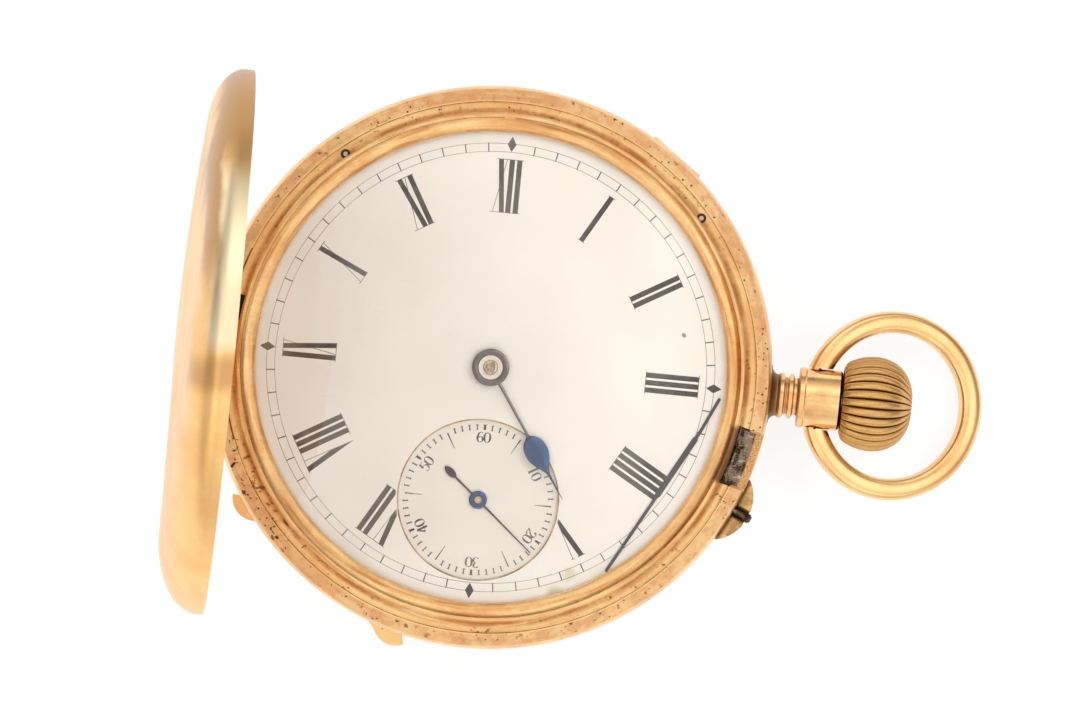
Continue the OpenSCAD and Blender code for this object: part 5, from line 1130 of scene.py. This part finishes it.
seconds_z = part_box("seconds_hand")[0].z / MM
needle = [(0.5, 0.1), (2.0, 0.075), (6.6, 0.04)]
leaf = [(0.5, 0.11), (1.6, 0.085), (2.4, 0.1), (2.8, 0.1), (3.02, 0.26), (3.4, 0.34), (3.8, 0.29),
        (4.05, 0.15), (4.17, 0.02)]
seconds_points, seconds_faces = together(
    blade(needle, 0.05, seconds_z, seconds_points_to, seconds_at, 7, 24),
    blade(leaf, 0.07, seconds_z, seconds_points_to + 180, seconds_at, 9, 60))
tail = put("seconds_hand_blade", seconds_points, seconds_faces, blued(
    "rusted blue", rust=1.0, blue=tone(66, 46, 44)), 50)
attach(tail, "fourth")
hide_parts("seconds_hand")
boss_points, boss_faces = turned_ring(
    [(0.3, 0), (0.8, 0), (0.8, 0.1), (0.74, 0.17), (0.5, 0.19), (0.3, 0.17)], seconds_at, seconds_z)
boss = put("seconds_hand_boss", boss_points, boss_faces,
           blued("blue of the boss", blue=tone(48, 66, 112)), 50)
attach(boss, "fourth")
pipe_points, pipe_faces = turned_ring(
    [(0.16, 0), (0.31, 0), (0.31, 0.26), (0.26, 0.3), (0.16, 0.28)], seconds_at, seconds_z, 36)
pipe = put("seconds_hand_pipe", pipe_points, pipe_faces,
           plain_brass("pipe brass", tone(214, 182, 120), 0.25), 50)
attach(pipe, "fourth")
give(blued("dull blue", rust=0.6, blue=tone(78, 74, 74)), "minute_hand")


# Movement.
# The movement lies under the dial and shows when the back covers open. Plates and wheels are
# frosted gilt brass, the winding and escapement pieces polished steel, the jewels red stones.

def frosted_gilt(name, grain=16.0, gilt=tone(222, 184, 118)):
    """Brass brushed to a frost and gilt, with so many grains to the millimetre."""
    f = Finish(name, Metallic=1.0)
    fine = f.grain(grain, 3.0, 0.6)
    cloud = f.grain(0.3, 4.0, 0.6)
    colour = f.tint(f.step(cloud, 0.4, 0.75), gilt, tone(196, 150, 90))
    return f.feed(Base_Color=colour, Roughness=0.36 + 0.14 * fine,
                  Normal=f.dents(fine, 0.01, 0.8))


def turned_steel(name):
    """Polished steel with a fine straight grain from the last stroke of the lap."""
    f = Finish(name, Metallic=1.0)
    cloud = f.grain(0.6, 4.0, 0.6)
    lines = f.strokes((0, 0, 15), 0.5, 0.7, long=0.5, close=14)
    colour = f.tint(cloud, tone(196, 196, 198), tone(168, 166, 166))
    return f.feed(Base_Color=colour, Roughness=0.16 + 0.12 * lines,
                  Normal=f.dents(lines, 0.003, 0.6))


def red_stone():
    """Clear red stone, cloudy inside."""
    f = Finish("ruby", IOR=1.76, Transmission_Weight=0.35)
    cloud = f.grain(2.0, 2.0)
    return f.feed(Base_Color=f.tint(cloud, tone(190, 24, 60), tone(150, 10, 40)),
                  Roughness=0.04 + 0.05 * cloud)


give(frosted_gilt("frosted gilt"), "main_plate", "top_plate", "balance_cock", "escapement_cock")
give(frosted_gilt("wheel brass", 24.0, tone(230, 196, 128)), "barrel", "barrel_cover",
     "centre_wheel", "third_wheel", "fourth_wheel", "balance_wheel", "minute_wheel")
give(frosted_gilt("pale brass", 8.0, tone(236, 226, 214)), "hour_wheel")
give(turned_steel("polished steel"), "barrel_arbor", "cannon_pinion", "click", "click_spring",
     "clutch", "clutch_yoke", "crown_wheel", "crown_wheel_screw", "escape_wheel",
     "intermediate_wheel", "pallet_fork", "ratchet_wheel", "regulator", "setting_lever",
     "setting_wheel", "stem", "winding_pinion")
give(blued("blue of the screws", rust=0.05, blue=tone(38, 62, 140)), "cock_screws",
     "plate_screws", "hairspring", "mainspring")
give(red_stone(), "plate_jewels")


# Table, light and camera.
# The watch lies on a white table under soft light from all round, and the camera looks straight
# down on it, turned so that 12 o'clock leans right.

def table_white():
    """White that keeps the watch's shadow, near to white for the camera, in gold and through
    glass, and clear from below."""
    f = Finish("table white", Roughness=0.9, Base_Color=(0.9, 0.9, 0.9, 1))
    straight, shine, through = (f.node("ShaderNodeLightPath", out="Is " + kind + " Ray")
                                for kind in ("Camera", "Glossy", "Transmission"))
    share = straight.most(shine, through) * 0.8
    light = f.node("ShaderNodeEmission", {}, {"Color": (1, 1, 1, 1), "Strength": 1.0})
    plain = Wire(f, f.shader.outputs[0])
    mixed = f.node("ShaderNodeMixShader", {}, {0: share, 1: plain, 2: light})
    below = f.node("ShaderNodeNewGeometry", out="Backfacing")
    clear = f.node("ShaderNodeBsdfTransparent")
    mixed = f.node("ShaderNodeMixShader", {}, {0: below, 1: mixed, 2: clear})
    f.plug(mixed, f.tree.nodes["Material Output"].inputs["Surface"])
    return f.material


far = 1500.0  # half the table's side in millimetres
floor = put("table", np.array([(-far, -far, 0), (far, -far, 0), (far, far, 0), (-far, far, 0)]),
            np.array([[0, 1, 2, 3]]), table_white())

world = bpy.data.worlds.new("studio")
bpy.context.scene.world = world
world.use_nodes = True
sky = Nodes(world.node_tree)
direction = sky.node("ShaderNodeTexCoord", out="Generated")
up, north = sky.part("Z", direction), sky.part("Y", direction)
rise = up * 0.5 + 0.5
far_side = sky.node("ShaderNodeValToRGB", {"stops": [
    (0.0, (0.6, 0.6, 0.6, 1)), (0.5, (0.62, 0.61, 0.6, 1)), (0.6, (0.42, 0.39, 0.36, 1)),
    (0.76, (0.8, 0.77, 0.74, 1)), (0.9, (1.5, 1.47, 1.43, 1)), (0.985, (1.22, 1.21, 1.19, 1))]},
    {0: rise})
near_side = sky.node("ShaderNodeValToRGB", {"stops": [
    (0.0, (0.6, 0.6, 0.6, 1)), (0.5, (0.88, 0.87, 0.86, 1)), (0.6, (0.86, 0.84, 0.81, 1)),
    (0.76, (0.9, 0.88, 0.85, 1)), (0.9, (1.5, 1.47, 1.43, 1)), (0.985, (1.22, 1.21, 1.19, 1))]},
    {0: rise})
shade = sky.tint(sky.step(north, -0.15, 0.05), near_side, far_side)
panels = sky.node("ShaderNodeTexNoise", {"noise_dimensions": "3D"}, {
    "Vector": direction, "Scale": 3.2, "Detail": 3.0, "Roughness": 0.55}, out="Fac")
panels = sky.step(panels, 0.4, 0.6)
panels = panels + 0.9 * sky.step(north, 0.45, 0.75) * sky.step(up, 0.1, 0.3)
panels = panels + 0.35 * (1 - sky.step(north, -0.4, 0.0))
panels = sky.tint(panels, (0.5, 0.46, 0.42, 1), (1.1, 1.09, 1.07, 1))
shade = sky.node("ShaderNodeVectorMath", {"operation": "MULTIPLY"}, {0: panels, 1: shade})
camera_ray = sky.node("ShaderNodeLightPath", out="Is Camera Ray")
colour = sky.tint(camera_ray, shade, (1, 1, 1, 1))
background = world.node_tree.nodes["Background"]
sky.plug(colour, background.inputs["Color"])
background.inputs["Strength"].default_value = 1.0


def lamp(name, at, size, power):
    """A soft rectangular light, in metres and watts, turned to the watch and not seen in gold."""
    light = bpy.data.lights.new(name, "AREA")
    light.shape, light.size, light.size_y = "RECTANGLE", size[0], size[1]
    light.energy = power
    holder = bpy.data.objects.new(name, light)
    holder.location = at
    holder.visible_glossy = False
    aim = Vector((0, 0, 0.01)) - Vector(at)
    holder.rotation_euler = aim.to_track_quat("-Z", "Y").to_euler()
    bpy.context.scene.collection.objects.link(holder)


lamp("right window", (0.8, 0.5, 0.8), (1.0, 1.0), 12.0)
lamp("left window", (-0.9, 0.2, 0.8), (1.2, 1.0), 11.5)
lamp("near window", (0.1, -1.0, 0.8), (1.4, 0.8), 6.0)

lens = bpy.data.cameras.new("camera")
lens.sensor_fit, lens.sensor_width, lens.lens = "HORIZONTAL", 36.0, 301.3
lens.clip_start, lens.clip_end = 0.05, 10.0
camera = bpy.data.objects.new("camera", lens)
bpy.context.scene.collection.objects.link(camera)
eye = (4.279, 1.07, 808.5)  # millimetres; the origin is on the table, under the dial's middle
up_vector = Vector((-0.0958, 0.9954, 0.0)).normalized()  # 5.5 degrees off the dial's 12 o'clock
back_vector = Vector((0.0, 0.0, 1.0))
right_vector = up_vector.cross(back_vector)
camera.matrix_world = Matrix.Translation([c * MM for c in eye]) @ Matrix(
    (right_vector, up_vector, back_vector)).transposed().to_4x4()
bpy.context.scene.camera = camera
bpy.context.scene.view_settings.view_transform = "Standard"
